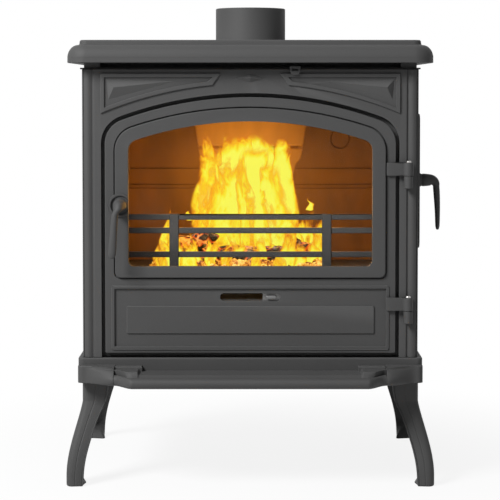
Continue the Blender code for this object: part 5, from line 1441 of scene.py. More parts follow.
@dataclass
class FrontCasting(SubAssembly):
    """The front casting with its reeded corner posts, the door's recess and the ornament over the arch."""

    groove_x: float = 0.313
    groove: float = 0.0032
    reed_rise: float = 0.0024
    reed_start: float = 0.0015
    bead_width: float = 0.0042
    bead_radius: float = 0.0025
    bead_setback: float = 0.0045
    bead_notch: Point = (0.0010, 0.0034)
    post_wall: float = 0.010
    recess: float = 0.016
    lap: float = 0.0205
    doorway_foot: float = 0.010
    opening_foot: float = 0.0005
    rise: float = 0.0036
    border: float = 0.0075
    top: float = 0.8228
    outer_x: float = 0.2968
    inner_x: float = 0.059
    slope: float = 0.016
    arch_offset: float = 0.020
    tip_border: float = 1.3
    diamond: Quad = (0.0325, 0.008, 0.8134, 0.0075)
    pyramid_rise: float = 0.0100
    pyramid_corner: float = 0.004
    pyramid_tail: Point = (0.145, 0.007)
    pyramid_foot: Point = (0.008, 0.016)
    pyramid_peak: Point = (0.019, 0.010)

    def post_profile(self) -> Outline:
        """Draws the casting from above: flat face, grooved and reeded posts, returns at the sides.

        Returns:
            Its points.
        """
        side, groove, rise = self.at.half_width, self.groove, self.reed_rise
        bead = side - self.bead_width
        half = [(0.0, 0.0), (self.groove_x - groove, 0.0), (self.groove_x, groove)]
        half += bowed((self.groove_x + self.reed_start, rise), (bead, rise), rise, 14)
        half += [(bead + self.bead_notch[0], rise + self.bead_notch[1])]
        half += arc((side - self.bead_radius, rise + self.bead_setback), self.bead_radius, 270, 360, 16)
        half += [(side, self.at.post_depth), (side - self.post_wall, self.at.post_depth)]
        half += [(side - self.post_wall, self.at.face_thickness)]
        return half + mirrored(half)[:-1]

    def spandrel(self, inset: float) -> Outline:
        """Draws the raised spandrel to the right of the arch, moved in by a distance.

        Args:
            inset: The distance.

        Returns:
            Its points.
        """
        centre = self.at.door.centre
        opening = self.at.door.radius + self.at.door_gap
        radius = opening + self.arch_offset + inset
        outer, top = self.outer_x - inset, self.top - inset
        lean = self.slope / (self.top - centre - opening - self.arch_offset)
        tip_top = self.inner_x + inset * (self.tip_border + lean)
        tip = tip_top + self.slope * (1 - 2 * inset / (self.top - centre - opening))
        start, end = math.degrees(math.acos(tip / radius)), math.degrees(math.acos(outer / radius))
        return [(outer, top), (tip_top, top)] + arc((0.0, centre), radius, start, end, 20)

    def build(self) -> None:
        """Makes the front casting."""
        at = self.at
        casting = Casting(prism(self.post_profile(), Axis.Z, at.body_bottom, at.body_top))
        opening = at.door.outline(at.door_gap, self.opening_foot, at.door.bottom - at.body_bottom + BITE)
        casting.cut(prism(opening, Axis.Y, -CUT_PAST, self.recess))
        doorway = at.door.outline(-self.lap, self.doorway_foot)
        casting.cut(prism(doorway, Axis.Y, self.recess - BITE, at.post_depth))
        outer, inner = self.spandrel(0.0), self.spandrel(self.border)
        for sign in (-1, 1):
            edge, field_edge = ([(sign * u, v) for u, v in line] for line in (outer, inner))
            casting.join(ring(edge, field_edge, Axis.Y, -self.rise, BITE))
        casting.piece(self.shop, "front_casting_with_spandrels", "root", 0.0008, stands_for=["front_frame"])
        self.facets(inner[-1][1])

    def facets(self, foot: float) -> None:
        """Adds the pyramid in each spandrel and the diamond between them, with crisp facets.

        Args:
            foot: The lowest point of a spandrel's field.
        """
        top, side = self.top - self.border, self.outer_x - self.border
        tail, low, peak = self.pyramid_tail, self.pyramid_foot, self.pyramid_peak
        base = [(side - self.pyramid_corner, top - self.pyramid_corner), (tail[0], top - tail[1])]
        base.append((side - low[0], foot + low[1]))
        apex = (side - peak[0], (top + foot) / 2 + peak[1])
        for sign, end in ((-1, "left"), (1, "right")):
            pyramid = spike([(sign * u, v) for u, v in base], (sign * apex[0], apex[1]), self.pyramid_rise)
            self.shop.add(f"spandrel_pyramid_{end}", pyramid, "root", Slot.CAST, (), 3)
        wide, high, z, out = self.diamond
        lozenge = [(-wide, z), (0.0, z - high), (wide, z), (0.0, z + high)]
        self.shop.add("raised_diamond", spike(lozenge, (0.0, z), out), "root", Slot.CAST, (), 3)


@dataclass
class FrontDoor(SubAssembly):
    """The glazed front door: casting, window surround, lower panel, boss and rope."""

    edge: float = 0.0012
    rim: float = 0.0065
    rim_depth: float = 0.006
    surround: Point = (0.0265, 0.0225)
    surround_round: float = 0.0020
    ditch: float = 0.0024
    ditch_depth: float = 0.0044
    boss_radius: float = 0.024
    boss_edge: float = 0.0008
    boss_groove: Point = (0.0140, 0.0192)
    boss_groove_depth: float = 0.0050
    lower: Edges = (-0.276, 0.276, 0.2725, 0.4016)
    lower_round: Point = (0.004, 0.0008)
    lower_rise: float = 0.002
    field_corner: float = 0.0012
    lower_rims: Triple = (0.006, 0.0062, 0.0075)
    tablet: Edges = (-0.246, 0.246, 0.3058, 0.3604)
    tablet_round: Point = (0.002, 0.0010)
    tablet_rise: float = 0.003
    slot: Point = (0.060, 0.015)
    rope_radius: float = 0.0046
    rope_turn: float = 0.008
    rope_lay: float = 0.004

    def build(self) -> None:
        """Makes the door casting and the rope behind it."""
        at = self.at
        face = at.door_face
        door = Casting(domed(lambda inset: at.door.outline(-inset), Axis.Y, at.door_back, face, self.edge, 3))
        rim_y = (at.door_back - BITE, at.door_back + self.rim_depth)
        door.join(ring(at.door.outline(), at.door.outline(-self.rim), Axis.Y, *rim_y))
        floor = face + self.ditch_depth
        door.cut(ring(self.surround_line(-self.ditch), self.surround_line(BITE), Axis.Y, face - BITE, floor))
        door.join(domed(self.surround_line, Axis.Y, floor + BITE, at.surround_face, self.surround_round))
        door.join(self.boss())
        through = (at.surround_face - CUT_PAST, at.door_back + BITE)
        door.cut(prism(at.window.outline(), Axis.Y, *through))
        self.lower_panel(door)
        door.cut(cylinder(Axis.Y, at.spindle, at.spindle_bore, *through))
        door.piece(self.shop, "door_casting_with_surround", "front_door", 0.0008, stands_for=["front_door"])
        line = at.door.outline(-self.rim - SEAT - self.rope_radius, self.rope_turn)
        height = at.door_back + SEAT + self.rope_radius
        rope = rope_loop(line, Axis.Y, height, self.rope_radius, self.rope_lay)
        self.shop.add("door_seal_rope", rope, "front_door", Slot.ROPE, ["front_door_rope"], 80)

    def boss(self) -> Mesh:
        """Makes the boss round the spindle, with a round groove in its face.

        Returns:
            A closed mesh.
        """
        radius, edge, face = self.boss_radius, self.boss_edge, self.at.boss_face
        inner, outer = self.boss_groove
        lip, deep = face + 0.0006, face + self.boss_groove_depth
        profile = [(radius, self.at.door_face + BITE), (radius, face + edge), (radius - edge, face)]
        profile += [(outer, face), (outer - 0.0006, lip), (outer - 0.0010, deep)]
        profile += [(inner + 0.0010, deep), (inner + 0.0006, lip), (inner, face), (0.0, face)]
        return turned(profile, Axis.Y, self.at.spindle, 56)

    def surround_line(self, inset: float) -> Outline:
        """Draws the outline of the window's surround, moved in."""
        side, foot = self.surround
        return self.at.window.outline(side - inset, drop=foot - inset)

    def lower_panel(self, door: Casting) -> None:
        """Adds the raised rim, the sunk field, the tablet and the air slot below the window.

        Args:
            door: The door casting.
        """
        at = self.at
        face = at.door_face
        corner, edge = self.lower_round
        door.join(raised_box(self.lower, corner, Axis.Y, face + BITE, face - self.lower_rise, edge, (5, 3)))
        left, right, low, high = self.lower
        side, over, under = self.lower_rims
        floor = at.panel_floor
        field_line = rounded_box(left + side, right - side, low + under, high - over, self.field_corner, 4)
        door.cut(prism(field_line, Axis.Y, face - CUT_PAST, floor))
        top = floor - self.tablet_rise
        corner, edge = self.tablet_round
        door.join(raised_box(self.tablet, corner, Axis.Y, floor + BITE, top, edge, (4, 3)))
        reach, tall = self.slot
        slot_z = (at.slot_z - tall / 2, at.slot_z + tall / 2)
        slot = rounded_box(-reach, reach, *slot_z, tall * ROUND_END, 12)
        door.cut(prism(slot, Axis.Y, face - CUT_PAST, at.door_back + BITE))


@dataclass
class Hinges(SubAssembly):
    """The hinges of both doors: straps and lugs with barrels, and pins with domed heads."""

    radius: float = 0.010
    lug_radius: float = 0.009
    pin_radius: float = 0.004
    head_radius: float = 0.0055
    head_height: float = 0.004
    head_edge: float = 0.001
    chamfer: float = 0.0008
    foot_share: float = 0.7
    foot_gap: float = 0.001
    pin_foot: float = 0.002
    strap_height: float = 0.026
    strap_inner: float = 0.270
    strap: float = 0.006
    lug_height: float = 0.0245
    levels: tuple[Point, Point] = ((0.6205, 0.0), (0.352, 0.002))
    side_centre: Point = (0.3378, 0.372)
    side_radius: float = 0.008
    side_strap_height: float = 0.024
    side_levels: Point = (0.673, 0.515)
    side_reach: Point = (0.330, 0.372)

    def barrel(self, centre: Point, radius: float, low: float, high: float) -> Mesh:
        """Makes a barrel with a bore and a small chamfer at both ends.

        Args:
            centre: Where its axis stands.
            radius: Its radius.
            low: Its lower end.
            high: Its upper end.

        Returns:
            A closed mesh.
        """
        bore, edge = self.pin_radius + SEAT, self.chamfer
        profile = [(bore, low), (radius - edge, low), (radius, low + edge), (radius, high - edge)]
        profile += [(radius - edge, high), (bore, high)]
        return turned(profile, Axis.Z, centre, 40, hollow=True)

    def pin(self, name: str, centre: Point, low: float, high: float) -> None:
        """Makes a pin whose domed head sits on the upper barrel.

        Args:
            name: The node that it replaces.
            centre: Where its axis stands.
            low: Its lower end.
            high: The top of the barrel under its head.
        """
        head, seat = self.head_radius, high + SEAT
        dome = seat + self.head_edge
        profile = [(0.0, low), (self.pin_radius, low), (self.pin_radius, seat), (head, seat), (head, dome)]
        for i in range(1, 9):
            angle = math.pi / 2 * i / 9
            profile.append((head * math.cos(angle), dome + self.head_height * math.sin(angle)))
        profile.append((0.0, dome + self.head_height))
        self.shop.add(f"{name}_domed", turned(profile, Axis.Z, centre, 36), "root", Slot.STEEL, [name], 45)

    def lug(
        self,
        end: tuple[str, str],
        centre: Point,
        radius: float,
        strap: Point,
        foot: tuple[Point, Point],
    ) -> None:
        """Makes the lug below a strap and the pin through both.

        Args:
            end: The door and the level, as in the names of the pieces.
            centre: Where the hinge's axis stands.
            radius: The lug's radius.
            strap: The heights of the strap's lower and upper end.
            foot: The X and Y range of the block that ties the lug to the stove.
        """
        door, level = end
        top = strap[0] - RUNNING
        low = top - self.lug_height
        lug = Casting(self.barrel(centre, radius, low, top)).join(block(*foot, (low, top)))
        lug.piece(self.shop, f"{door}_lug_{level}", "root", 0.0006, stands_for=[f"{door}_hinge_lug_{level}"])
        self.pin(f"{door}_hinge_pin_{level}", centre, low + self.pin_foot, strap[1])

    def build(self) -> None:
        """Makes the hinges of both doors."""
        at = self.at
        x, y = at.hinge
        clear = self.pin_radius + SEAT + self.foot_gap
        half = self.lug_radius * self.foot_share
        for (z, behind), level in zip(self.levels, ("upper", "lower")):
            top = z + self.strap_height
            back = at.door_face - SEAT - behind
            strap = Casting(self.barrel(at.hinge, self.radius, z, top))
            leaf = rounded_box(self.strap_inner, x - clear, z, top, 0.002, 5)
            strap.join(prism(leaf, Axis.Y, back - self.strap, back))
            node = f"front_hinge_strap_{level}"
            strap.piece(self.shop, f"front_strap_{level}", "front_door", 0.0008, stands_for=[node])
            foot = ((x - half, x + half), (y + clear, -SEAT))
            self.lug(("front", level), at.hinge, self.lug_radius, (z, top), foot)
        x, y = self.side_centre
        half = self.side_radius * self.foot_share
        for z, level in zip(self.side_levels, ("upper", "lower")):
            top = z + self.side_strap_height
            face = at.side_door_face + SEAT
            strap = Casting(self.barrel(self.side_centre, self.side_radius, z, top))
            leaf = box_outline(self.side_reach[0], self.side_reach[1], z, top)
            strap.join(prism(leaf, Axis.X, face, face + self.strap))
            node = f"side_hinge_strap_{level}"
            strap.piece(self.shop, f"side_strap_{level}", "side_door", 0.0008, stands_for=[node])
            foot = ((at.panel_outer + SEAT, x - clear), (y - half, y + half))
            self.lug(("side", level), self.side_centre, self.side_radius, (z, top), foot)


@dataclass
class Shell(SubAssembly):
    """Side and back panels with raised fields."""

    field_margin: float = 0.045
    field_rise: float = 0.002
    field_corner: float = 0.010
    field_edge: float = 0.0012
    ledge: Triple = (0.018, 0.009, 0.030)
    hearth_z: float = 0.405
    door_lap: float = 0.025
    hole_corner: float = 0.012

    def field_mesh(self, edges: Edges, axis: Axis, plane: float, out: int) -> Mesh:
        """Makes the raised field on a panel's face at plane, which looks out along 1 or -1 times the axis."""
        foot, face = plane - out * BITE, plane + out * self.field_rise
        return raised_box(edges, self.field_corner, axis, foot, face, self.field_edge, (8, 3))

    def build(self) -> None:
        """Makes the two side panels and the back panel."""
        at = self.at
        front, margin = at.post_depth + SEAT, self.field_margin
        wide, tall, short = self.ledge
        inside = at.depth - (at.panel_outer - at.panel_inner)
        for sign, side in ((-1, "left"), (1, "right")):
            wall = sorted((sign * at.panel_inner, sign * at.panel_outer))
            panel = Casting(prism(box_outline(front, at.depth, at.body_bottom, at.body_top), Axis.X, *wall))
            ledge_x = sorted((sign * (at.panel_inner - wide), sign * (at.panel_inner + BITE)))
            ledge_z = (self.hearth_z - SEAT - tall, self.hearth_z - SEAT)
            panel.join(block(ledge_x, (front + short, inside - short), ledge_z))
            top = at.body_top - margin
            if sign > 0:
                top = at.side_door[2] - margin / 2
                lap = self.door_lap
                front_edge, rear, low, high = at.side_door
                hole = rounded_box(front_edge + lap, rear - lap, low + lap, high - lap, self.hole_corner, 6)
                panel.cut(prism(hole, Axis.X, at.panel_inner - BITE, at.panel_outer + BITE))
            edges = (front + margin, at.depth - margin, at.body_bottom + margin, top)
            panel.join(self.field_mesh(edges, Axis.X, sign * at.panel_outer, sign))
            name, node = f"{side}_panel_with_field", f"{side}_side_panel"
            panel.piece(self.shop, name, "root", 0.0008, stands_for=[node])
        half = at.panel_inner - SEAT
        back = Casting(block((-half, half), (inside, at.depth), (at.body_bottom, at.body_top)))
        edges = (-half + margin, half - margin, at.body_bottom + margin, at.body_top - margin)
        back.join(self.field_mesh(edges, Axis.Y, at.depth, 1))
        back.piece(self.shop, "back_panel_with_field", "root", 0.0008, stands_for=["back_panel"])


@dataclass
class Top(SubAssembly):
    """The moulded top plate and the flue spigot in its seat."""

    half_width: float = 0.3625
    front: float = 0.035
    back: float = 0.025
    bottom: float = 0.8435
    surface: float = 0.8890
    skin: float = 0.008
    rim: float = 0.030
    corner: float = 0.040
    hollow_corner: float = 0.010
    arris: float = 0.0015
    edge: float = 0.009
    swell: float = 0.021
    cove: float = 0.010
    ledge: float = 0.0245
    ledge_round: float = 0.004
    flue: Point = (0.0, 0.330)
    flue_radius: float = 0.075
    flue_wall: float = 0.005
    flue_top: float = 0.9650
    flue_ledge: float = 0.009
    flue_seat: float = 0.005
    flue_chamfer: float = 0.002
    flue_lip: float = 0.001

    def outline(self, inset: float, radius: float, steps: int) -> Outline:
        """Draws the plate from above, moved in, with corners of a radius."""
        side, back = self.half_width - inset, self.at.depth + self.back - inset
        return rounded_box(-side, side, inset - self.front, back, radius, steps)

    def level(self, inset: float, z: float) -> list[Vector]:
        """Draws the plate's outline at one height of its moulding."""
        return [Vector((x, y, z)) for x, y in self.outline(inset, self.corner - inset, 14)]

    def build(self) -> None:
        """Makes the plate and the spigot."""
        cove_z, edge_top = self.surface - self.cove, self.bottom + self.edge
        arris = self.arris
        rings = [self.level(arris, self.bottom), self.level(arris * 0.3, self.bottom + arris * 0.3)]
        rings += [self.level(0.0, self.bottom + arris), self.level(SEAT, edge_top)]
        for i in range(1, 15):
            angle = math.pi / 2 * i / 14
            rise = (cove_z - edge_top) * math.sin(angle)
            rings.append(self.level(self.swell * (1 - math.cos(angle)), edge_top + rise))
        rings.append(self.level(self.ledge - arris, cove_z + arris * 0.4))
        rings.append(self.level(self.ledge - arris * 0.3, cove_z + arris * 1.2))
        for inset, drop in quarter(self.ledge_round, 6):
            rings.append(self.level(self.ledge + inset, self.surface - drop))
        plate = Casting(loft(rings))
        hollow = self.outline(self.rim, self.hollow_corner, 6)
        plate.cut(prism(hollow, Axis.Z, self.bottom - BITE, self.surface - self.skin))
        seat_z = (self.surface - self.flue_seat, self.surface + CUT_PAST)
        plate.cut(cylinder(Axis.Z, self.flue, self.flue_radius + SEAT, *seat_z, 96))
        way_z = (self.surface - self.skin - BITE, self.surface)
        plate.cut(cylinder(Axis.Z, self.flue, self.flue_radius - self.flue_ledge, *way_z, 96))
        plate.piece(self.shop, "moulded_top_plate", "root", 0.0006, stands_for=["top_plate"])
        inside, low = self.flue_radius - self.flue_wall, self.surface - self.flue_seat + SEAT
        profile = [(inside, low), (self.flue_radius, low)]
        for inset, drop in quarter(self.flue_chamfer, 4):
            profile.append((self.flue_radius - inset, self.flue_top - drop))
        profile += [(inside + self.flue_lip, self.flue_top), (inside, self.flue_top - self.flue_lip)]
        spigot = turned(profile, Axis.Z, self.flue, 128, hollow=True)
        self.shop.add("flue_spigot_cast", spigot, "root", Slot.CAST, ["flue_spigot"], 35)


@dataclass
class Slides(SubAssembly):
    """The two air slides: the lower one with its knob, the upper one with its bent tab."""

    knob_x: float = 0.0415
    reach: float = 0.112
    sheet: float = 0.002
    tall: float = 0.030
    knob: Quad = (0.0198, 0.007, 0.0028, 0.004)
    knob_edge: float = 0.0015
    port: Triple = (0.007, 0.015, 0.003)
    tab_x: float = 0.0885
    tab_half: float = 0.0105
    tab_drop: float = 0.017
    tab_proud: float = 0.008
    tab_corner: float = 0.0095
    tongue_half: float = 0.0084
    slit: Triple = (0.0063, 0.0045, 0.0071)
    strip: Point = (0.150, 0.022)
    flange_top: float = 0.8343
    collar_front: float = 0.046

    def lower(self) -> None:
        """Makes the slide behind the lower slot, with its oval knob."""
        at = self.at
        y, x = at.door_back + RUNNING, self.knob_x
        z = (at.slot_z - self.tall / 2, at.slot_z + self.tall / 2)
        slide = Casting(block((x - self.reach, x + self.reach), (y, y + self.sheet), z))
        length, high, corner, proud = self.knob
        margin, opening, port_corner = self.port
        port_x = (x - self.reach + margin, x - length / 2 - margin)
        port = rounded_box(*port_x, at.slot_z - opening / 2, at.slot_z + opening / 2, port_corner, 6)
        slide.cut(prism(port, Axis.Y, y - BITE, y + self.sheet + BITE))

        def knob_at(inset: float) -> Outline:
            """Draws the knob's oval moved in."""
            half, tall = length / 2 - inset, high / 2 - inset
            return rounded_box(x - half, x + half, at.slot_z - tall, at.slot_z + tall, corner - inset, 8)

        slide.join(domed(knob_at, Axis.Y, y + self.sheet / 2, at.panel_floor - proud, self.knob_edge))
        node = "lower_air_slide"
        slide.piece(self.shop, "lower_slide_with_knob", "lower_slide", 0.0003, Slot.SHEET, [node])

    def upper(self) -> None:
        """Makes the slide on the collar's flange, with its tab bent down before the casting."""
        low = self.flange_top + RUNNING
        high, rear = low + self.sheet, self.collar_front - RUNNING
        length, depth = self.strip
        front = -self.tab_proud - self.sheet
        strip_x = (self.tab_x - length / 2, self.tab_x + length / 2)
        slide = Casting(block(strip_x, (rear - depth, rear), (low, high)))
        tongue_x = (self.tab_x - self.tongue_half, self.tab_x + self.tongue_half)
        slide.join(block(tongue_x, (front, rear - depth + BITE), (low, high)))
        left, right = self.tab_x - self.tab_half, self.tab_x + self.tab_half
        bottom, radius = high - self.tab_drop, self.tab_corner
        tab = [(left, high), (left, bottom + radius)]
        tab += arc((left + radius, bottom + radius), radius, 180, 270, 12)[1:]
        tab += arc((right - radius, bottom + radius), radius, 270, 360, 12) + [(right, high)]
        slide.join(prism(tab, Axis.Y, front, front + self.sheet))
        half, tall, drop = self.slit
        slit_x, slit_y = (self.tab_x - half, self.tab_x + half), (front - BITE, front + self.sheet + BITE)
        slide.cut(block(slit_x, slit_y, (high - drop - tall / 2, high - drop + tall / 2)))
        slide.piece(self.shop, "upper_slide_with_tab", "upper_slide", 0.0004, Slot.CAST, ["upper_air_slide"])

    def build(self) -> None:
        """Makes both slides."""
        self.lower()
        self.upper()


class Side(Enum):
    """Which door a handle belongs to."""

    FRONT = "front_handle"
    LOADING = "side_handle"


@dataclass
class Handle(SubAssembly):
    """A lever handle that stands out from its door and hangs down.

    drift is how far the front lever lies to the left of its hub. It starts at the first height below the axis
    in drift_run and grows over the second.
    """

    side: Side
    drop: float
    tilt: float = 0.0
    hub: Point = (0.0135, 0.0115)
    hub_length: float = 0.026
    proud: float = 0.038
    bow: float = 0.001
    lean: float = 0.003
    half_width: Point = (0.0066, 0.0078)
    thickness: Point = (0.0135, 0.0092)
    tip_start: float = 0.86
    tip_round: float = 0.30
    drift: float = 0.0062
    drift_run: Point = (0.004, 0.012)
    socket: Point = (0.0053, 0.018)
    sides: int = 28

    def stations(self) -> list[tuple[Vector, float, float, float]]:
        """Lists the handle's middle line.

        Returns:
            For each station its place, the angle of the line, and half its thickness and width.
        """
        big, small = self.hub
        found = []
        collar = ((0.0, big), (0.22, big), (0.27, big - 0.0012), (0.33, big - 0.0012), (0.38, big - 0.0004))
        for share, radius in (*collar, (0.7, (big + small) / 2), (1.0, small)):
            found.append((Vector((-RUNNING - (self.hub_length - RUNNING) * share, 0.0)), 0.0, radius, radius))
        run = self.proud - self.hub_length
        for i in range(1, 11):
            angle = math.pi / 2 * i / 10
            thick = small + (self.thickness[0] / 2 - small) * i / 10
            wide = small + (self.half_width[0] - small) * i / 10
            spot = Vector((-self.hub_length - run * math.sin(angle), -run * (1 - math.cos(angle))))
            found.append((spot, angle, thick, wide))
        elbow = found[-1][0]
        shares = [i / 16 * self.tip_start for i in range(1, 17)] + [0.90, 0.94, 0.97, 0.988, 0.997, 1.0]
        for share in shares:
            taper = ease(share) if share < self.tip_start else 1.0
            thick = (self.thickness[0] + (self.thickness[1] - self.thickness[0]) * taper) / 2
            wide = self.half_width[0] + (self.half_width[1] - self.half_width[0]) * taper
            past = clamp((share - self.tip_start) / (1 - self.tip_start))
            shrink = self.tip_round + (1 - self.tip_round) * math.sqrt(1 - past ** 2)
            bend = self.bow * math.sin(math.pi * share) + self.lean * share
            spot = Vector((elbow.x - bend, elbow.y + (-self.drop - elbow.y) * share))
            found.append((spot, math.pi / 2, thick * shrink, wide * shrink))
        return found

    def place(self, p: Vector) -> Vector:
        """Moves a point of the handle from its own axis to its door, tilted and drifting at the front.

        Args:
            p: The point: across, out and up from the axis.

        Returns:
            Its place on the stove.
        """
        if self.side is Side.LOADING:
            y, z = self.at.side_spindle
            return Vector((self.at.side_door_face - p.y, y + p.x, z + p.z))
        turn = math.radians(self.tilt)
        x, z = self.at.spindle
        start, run = self.drift_run
        drift = self.drift * clamp((-p.z - start) / run)
        across = p.x * math.cos(turn) + p.z * math.sin(turn) - drift
        up = -p.x * math.sin(turn) + p.z * math.cos(turn)
        return Vector((x + across, p.y + self.at.boss_face, z + up))

    def build(self) -> None:
        """Makes the handle with the socket for its spindle."""
        rings = []
        for spot, angle, thick, wide in self.stations():
            across = Vector((-math.sin(angle), math.cos(angle)))
            section = []
            for u, v in circle((0.0, 0.0), 1.0, self.sides):
                offset = across * thick * v
                section.append(self.place(Vector((wide * u, spot.x + offset.x, spot.y + offset.y))))
            rings.append(section)
        handle = Casting(loft(rings))
        bore, deep = self.socket
        if self.side is Side.LOADING:
            face = self.at.side_door_face
            handle.cut(cylinder(Axis.X, self.at.side_spindle, bore, face, face + deep))
        else:
            face = self.at.boss_face
            handle.cut(cylinder(Axis.Y, self.at.spindle, bore, face - deep, face))
        own = self.side.value
        self.shop.add(f"{own}_lever", handle.mesh(), own, Slot.CAST, [own], 42)


@dataclass
class LoadingDoor(SubAssembly):
    """The loading door in the right side, with its sunk field and rope."""

    radius: float = 0.012
    edge: float = 0.0020
    margin: float = 0.028
    boss: float = 0.024
    sink: float = 0.003
    sunk_corner: float = 0.006
    rope_radius: float = 0.0022
    rope_inset: float = 0.009
    rope_turn: float = 0.006
    rope_lay: float = 0.0026

    def line(self, inset: float, radius: float) -> Outline:
        """Draws the door's outline moved in, with another corner radius."""
        front, rear, low, high = self.at.side_door
        return rounded_box(front + inset, rear - inset, low + inset, high - inset, radius, 8)

    def build(self) -> None:
        """Makes the door and its rope."""
        at = self.at
        back, face = at.side_door_back, at.side_door_face
        door = Casting(domed(lambda inset: self.line(inset, self.radius), Axis.X, back, face, self.edge))
        y, z = at.side_spindle
        _, rear, low, high = at.side_door
        margin = self.margin
        sunk = rounded_box(y + self.boss, rear - margin, low + margin, high - margin, self.sunk_corner, 6)
        door.cut(prism(sunk, Axis.X, face - self.sink, face + BITE))
        door.cut(cylinder(Axis.X, (y, z), at.spindle_bore, back - BITE, face + BITE))
        door.piece(self.shop, "loading_door_casting", "side_door", 0.0008, stands_for=["side_door"])
        height = at.panel_outer + SEAT + self.rope_radius
        line = self.line(self.rope_inset, self.rope_turn)
        rope = rope_loop(line, Axis.X, height, self.rope_radius, self.rope_lay)
        self.shop.add("loading_door_rope", rope, "side_door", Slot.ROPE, ["side_door_rope"], 80)


@dataclass
class Firebox(SubAssembly):
    """What the window shows of the firebox: the guard, the fireback and its air channel."""

    guard_y: float = 0.060
    guard_depth: float = 0.008
    bar: float = 0.0115
    bars: Triple = (0.4575, 0.506, 0.5335)
    post_width: float = 0.0185
    post_x: float = 0.1545
    reach: float = 0.3087
    liner_top: float = 0.742
    depth: float = 0.055
    wall: float = 0.010
    groove: Point = (0.0028, 0.0060)
    grooves: tuple[float, ...] = (0.617, 0.581, 0.573)
    mark: Triple = (0.198, 0.682, 0.021)
    channel: tuple[Point, ...] = (
        (0.066, 0.500),
        (0.100, 0.632),
        (0.108, 0.636),
        (0.1146, 0.662),
        (0.1146, 0.668),
        (0.126, 0.742),
    )

    def guard(self) -> None:
        """Makes the log guard: three bars across two posts."""
        y = (self.guard_y, self.guard_y + self.guard_depth)
        half = self.bar / 2
        guard = Casting(block((-self.reach, self.reach), y, (self.bars[0] - half, self.bars[0] + half)))
        for z in self.bars[1:]:
            guard.join(block((-self.reach, self.reach), y, (z - half, z + half)))
        post_z = (self.at.firebox_bottom + SEAT, max(self.bars) + half - BITE / 2)
        for sign in (-1, 1):
            x = (sign * self.post_x - self.post_width / 2, sign * self.post_x + self.post_width / 2)
            guard.join(block(x, (y[0] - BITE / 2, y[1] + BITE / 2), post_z))
        guard.piece(self.shop, "log_guard_bars", "root", 0.0012, Slot.DARK, ["log_guard"])

    def air_channel(self) -> None:
        """Makes the air channel in the middle of the fireback, hollow behind, with its slit."""
        rear = self.at.fireback_y - SEAT
        front = rear - self.depth
        right = list(self.channel)
        middle = Casting(prism(right + mirrored(right), Axis.Y, front, rear))
        wall = self.wall
        (low_x, low_z), (mid_x, mid_z), _, (gap_x, gap_z), (_, gap_top), (top_x, _) = self.channel
        inner = [(low_x - wall, low_z + wall), (mid_x - wall, mid_z), (gap_x - wall, gap_z)]
        inner.append((top_x - wall, self.liner_top - wall))
        middle.cut(prism(inner + mirrored(inner), Axis.Y, front + wall, self.at.fireback_y + BITE))
        slit_x, slit_y = (-gap_x - BITE, gap_x + BITE), (front - BITE, front + self.depth / 3)
        middle.cut(block(slit_x, slit_y, (gap_z, gap_top)))
        middle.piece(self.shop, "fireback_air_channel", "root", 0.0040, Slot.LINER, ["fireback_centre"], 4)

    def fireback(self) -> None:
        """Makes the fireback with its level grooves and the ring mark on its right."""
        half, face = self.at.panel_inner - SEAT, self.at.fireback_y
        foot = self.at.firebox_bottom + SEAT
        back = Casting(block((-half, half), (face, face + self.wall), (foot, self.liner_top)))
        wide, deep = self.groove
        for z in self.grooves:
            groove_z = (z - wide / 2, z + wide / 2)
            back.cut(block((-half - BITE, half + BITE), (face - BITE, face + deep), groove_z))
        x, z, radius = self.mark
        rim = (circle((x, z), radius + wide / 2, 48), circle((x, z), radius - wide / 2, 48))
        back.cut(ring(*rim, Axis.Y, face - BITE, face + deep))
        back.piece(self.shop, "grooved_fireback", "root", 0.0004, Slot.LINER, ["fireback"])

    def build(self) -> None:
        """Makes the guard, the air channel and the fireback."""
        self.guard()
        self.air_channel()
        self.fireback()


# The fire


@dataclass(frozen=True)
class Sheet:
    """One sheet of flame.

    x and y are the middle of its foot, z is the foot's height, turn is the way that it faces in degrees, lean
    is how far its tip drifts to the right, and curve is how far its middle bows out.
    """

    x: float
    y: float
    z: float
    width: float
    height: float
    turn: float = 0.0
    lean: float = 0.0
    curve: float = 0.015

    def mesh(self, seed: float) -> Mesh:
        """Makes the sheet, bent and swaying, with a UV map from edge to edge and from foot to tip.

        Args:
            seed: Sets its sway.

        Returns:
            The mesh.
        """
        across, up = 16, 30
        turn = math.radians(self.turn)
        along = Vector((math.cos(turn), math.sin(turn), 0.0))
        out = Vector((math.sin(turn), -math.cos(turn), 0.0))
        shape = bmesh.new()
        uv = shape.loops.layers.uv.new("sheet")
        grid = []
        for j in range(up + 1):
            v = j / up
            half = self.width / 2 * (0.80 + 0.35 * math.sin(math.pi * min(v * 1.3, 1.0)) - 0.35 * v)
            row = []
            for i in range(across + 1):
                u = i / across * 2 - 1
                sway = noise.noise(Vector((seed * 3.7, v * 2.2, u * 0.4))) * 0.030 * v
                deep = self.curve * (1 - u * u) + noise.noise(Vector((seed, v * 3.0, u * 1.6))) * 0.014
                spot = Vector((self.x + self.lean * v ** 1.6, self.y, self.z + self.height * v))
                row.append(shape.verts.new(spot + along * (half * u + sway) + out * deep))
            grid.append(row)
        for j in range(up):
            for i in range(across):
                corners = ((i, j), (i + 1, j), (i + 1, j + 1), (i, j + 1))
                face = shape.faces.new([grid[b][a] for a, b in corners])
                for loop, (a, b) in zip(face.loops, corners):
                    loop[uv].uv = (a / across, b / up)
        mesh = bpy.data.meshes.new("flame")
        shape.to_mesh(mesh)
        shape.free()
        return mesh


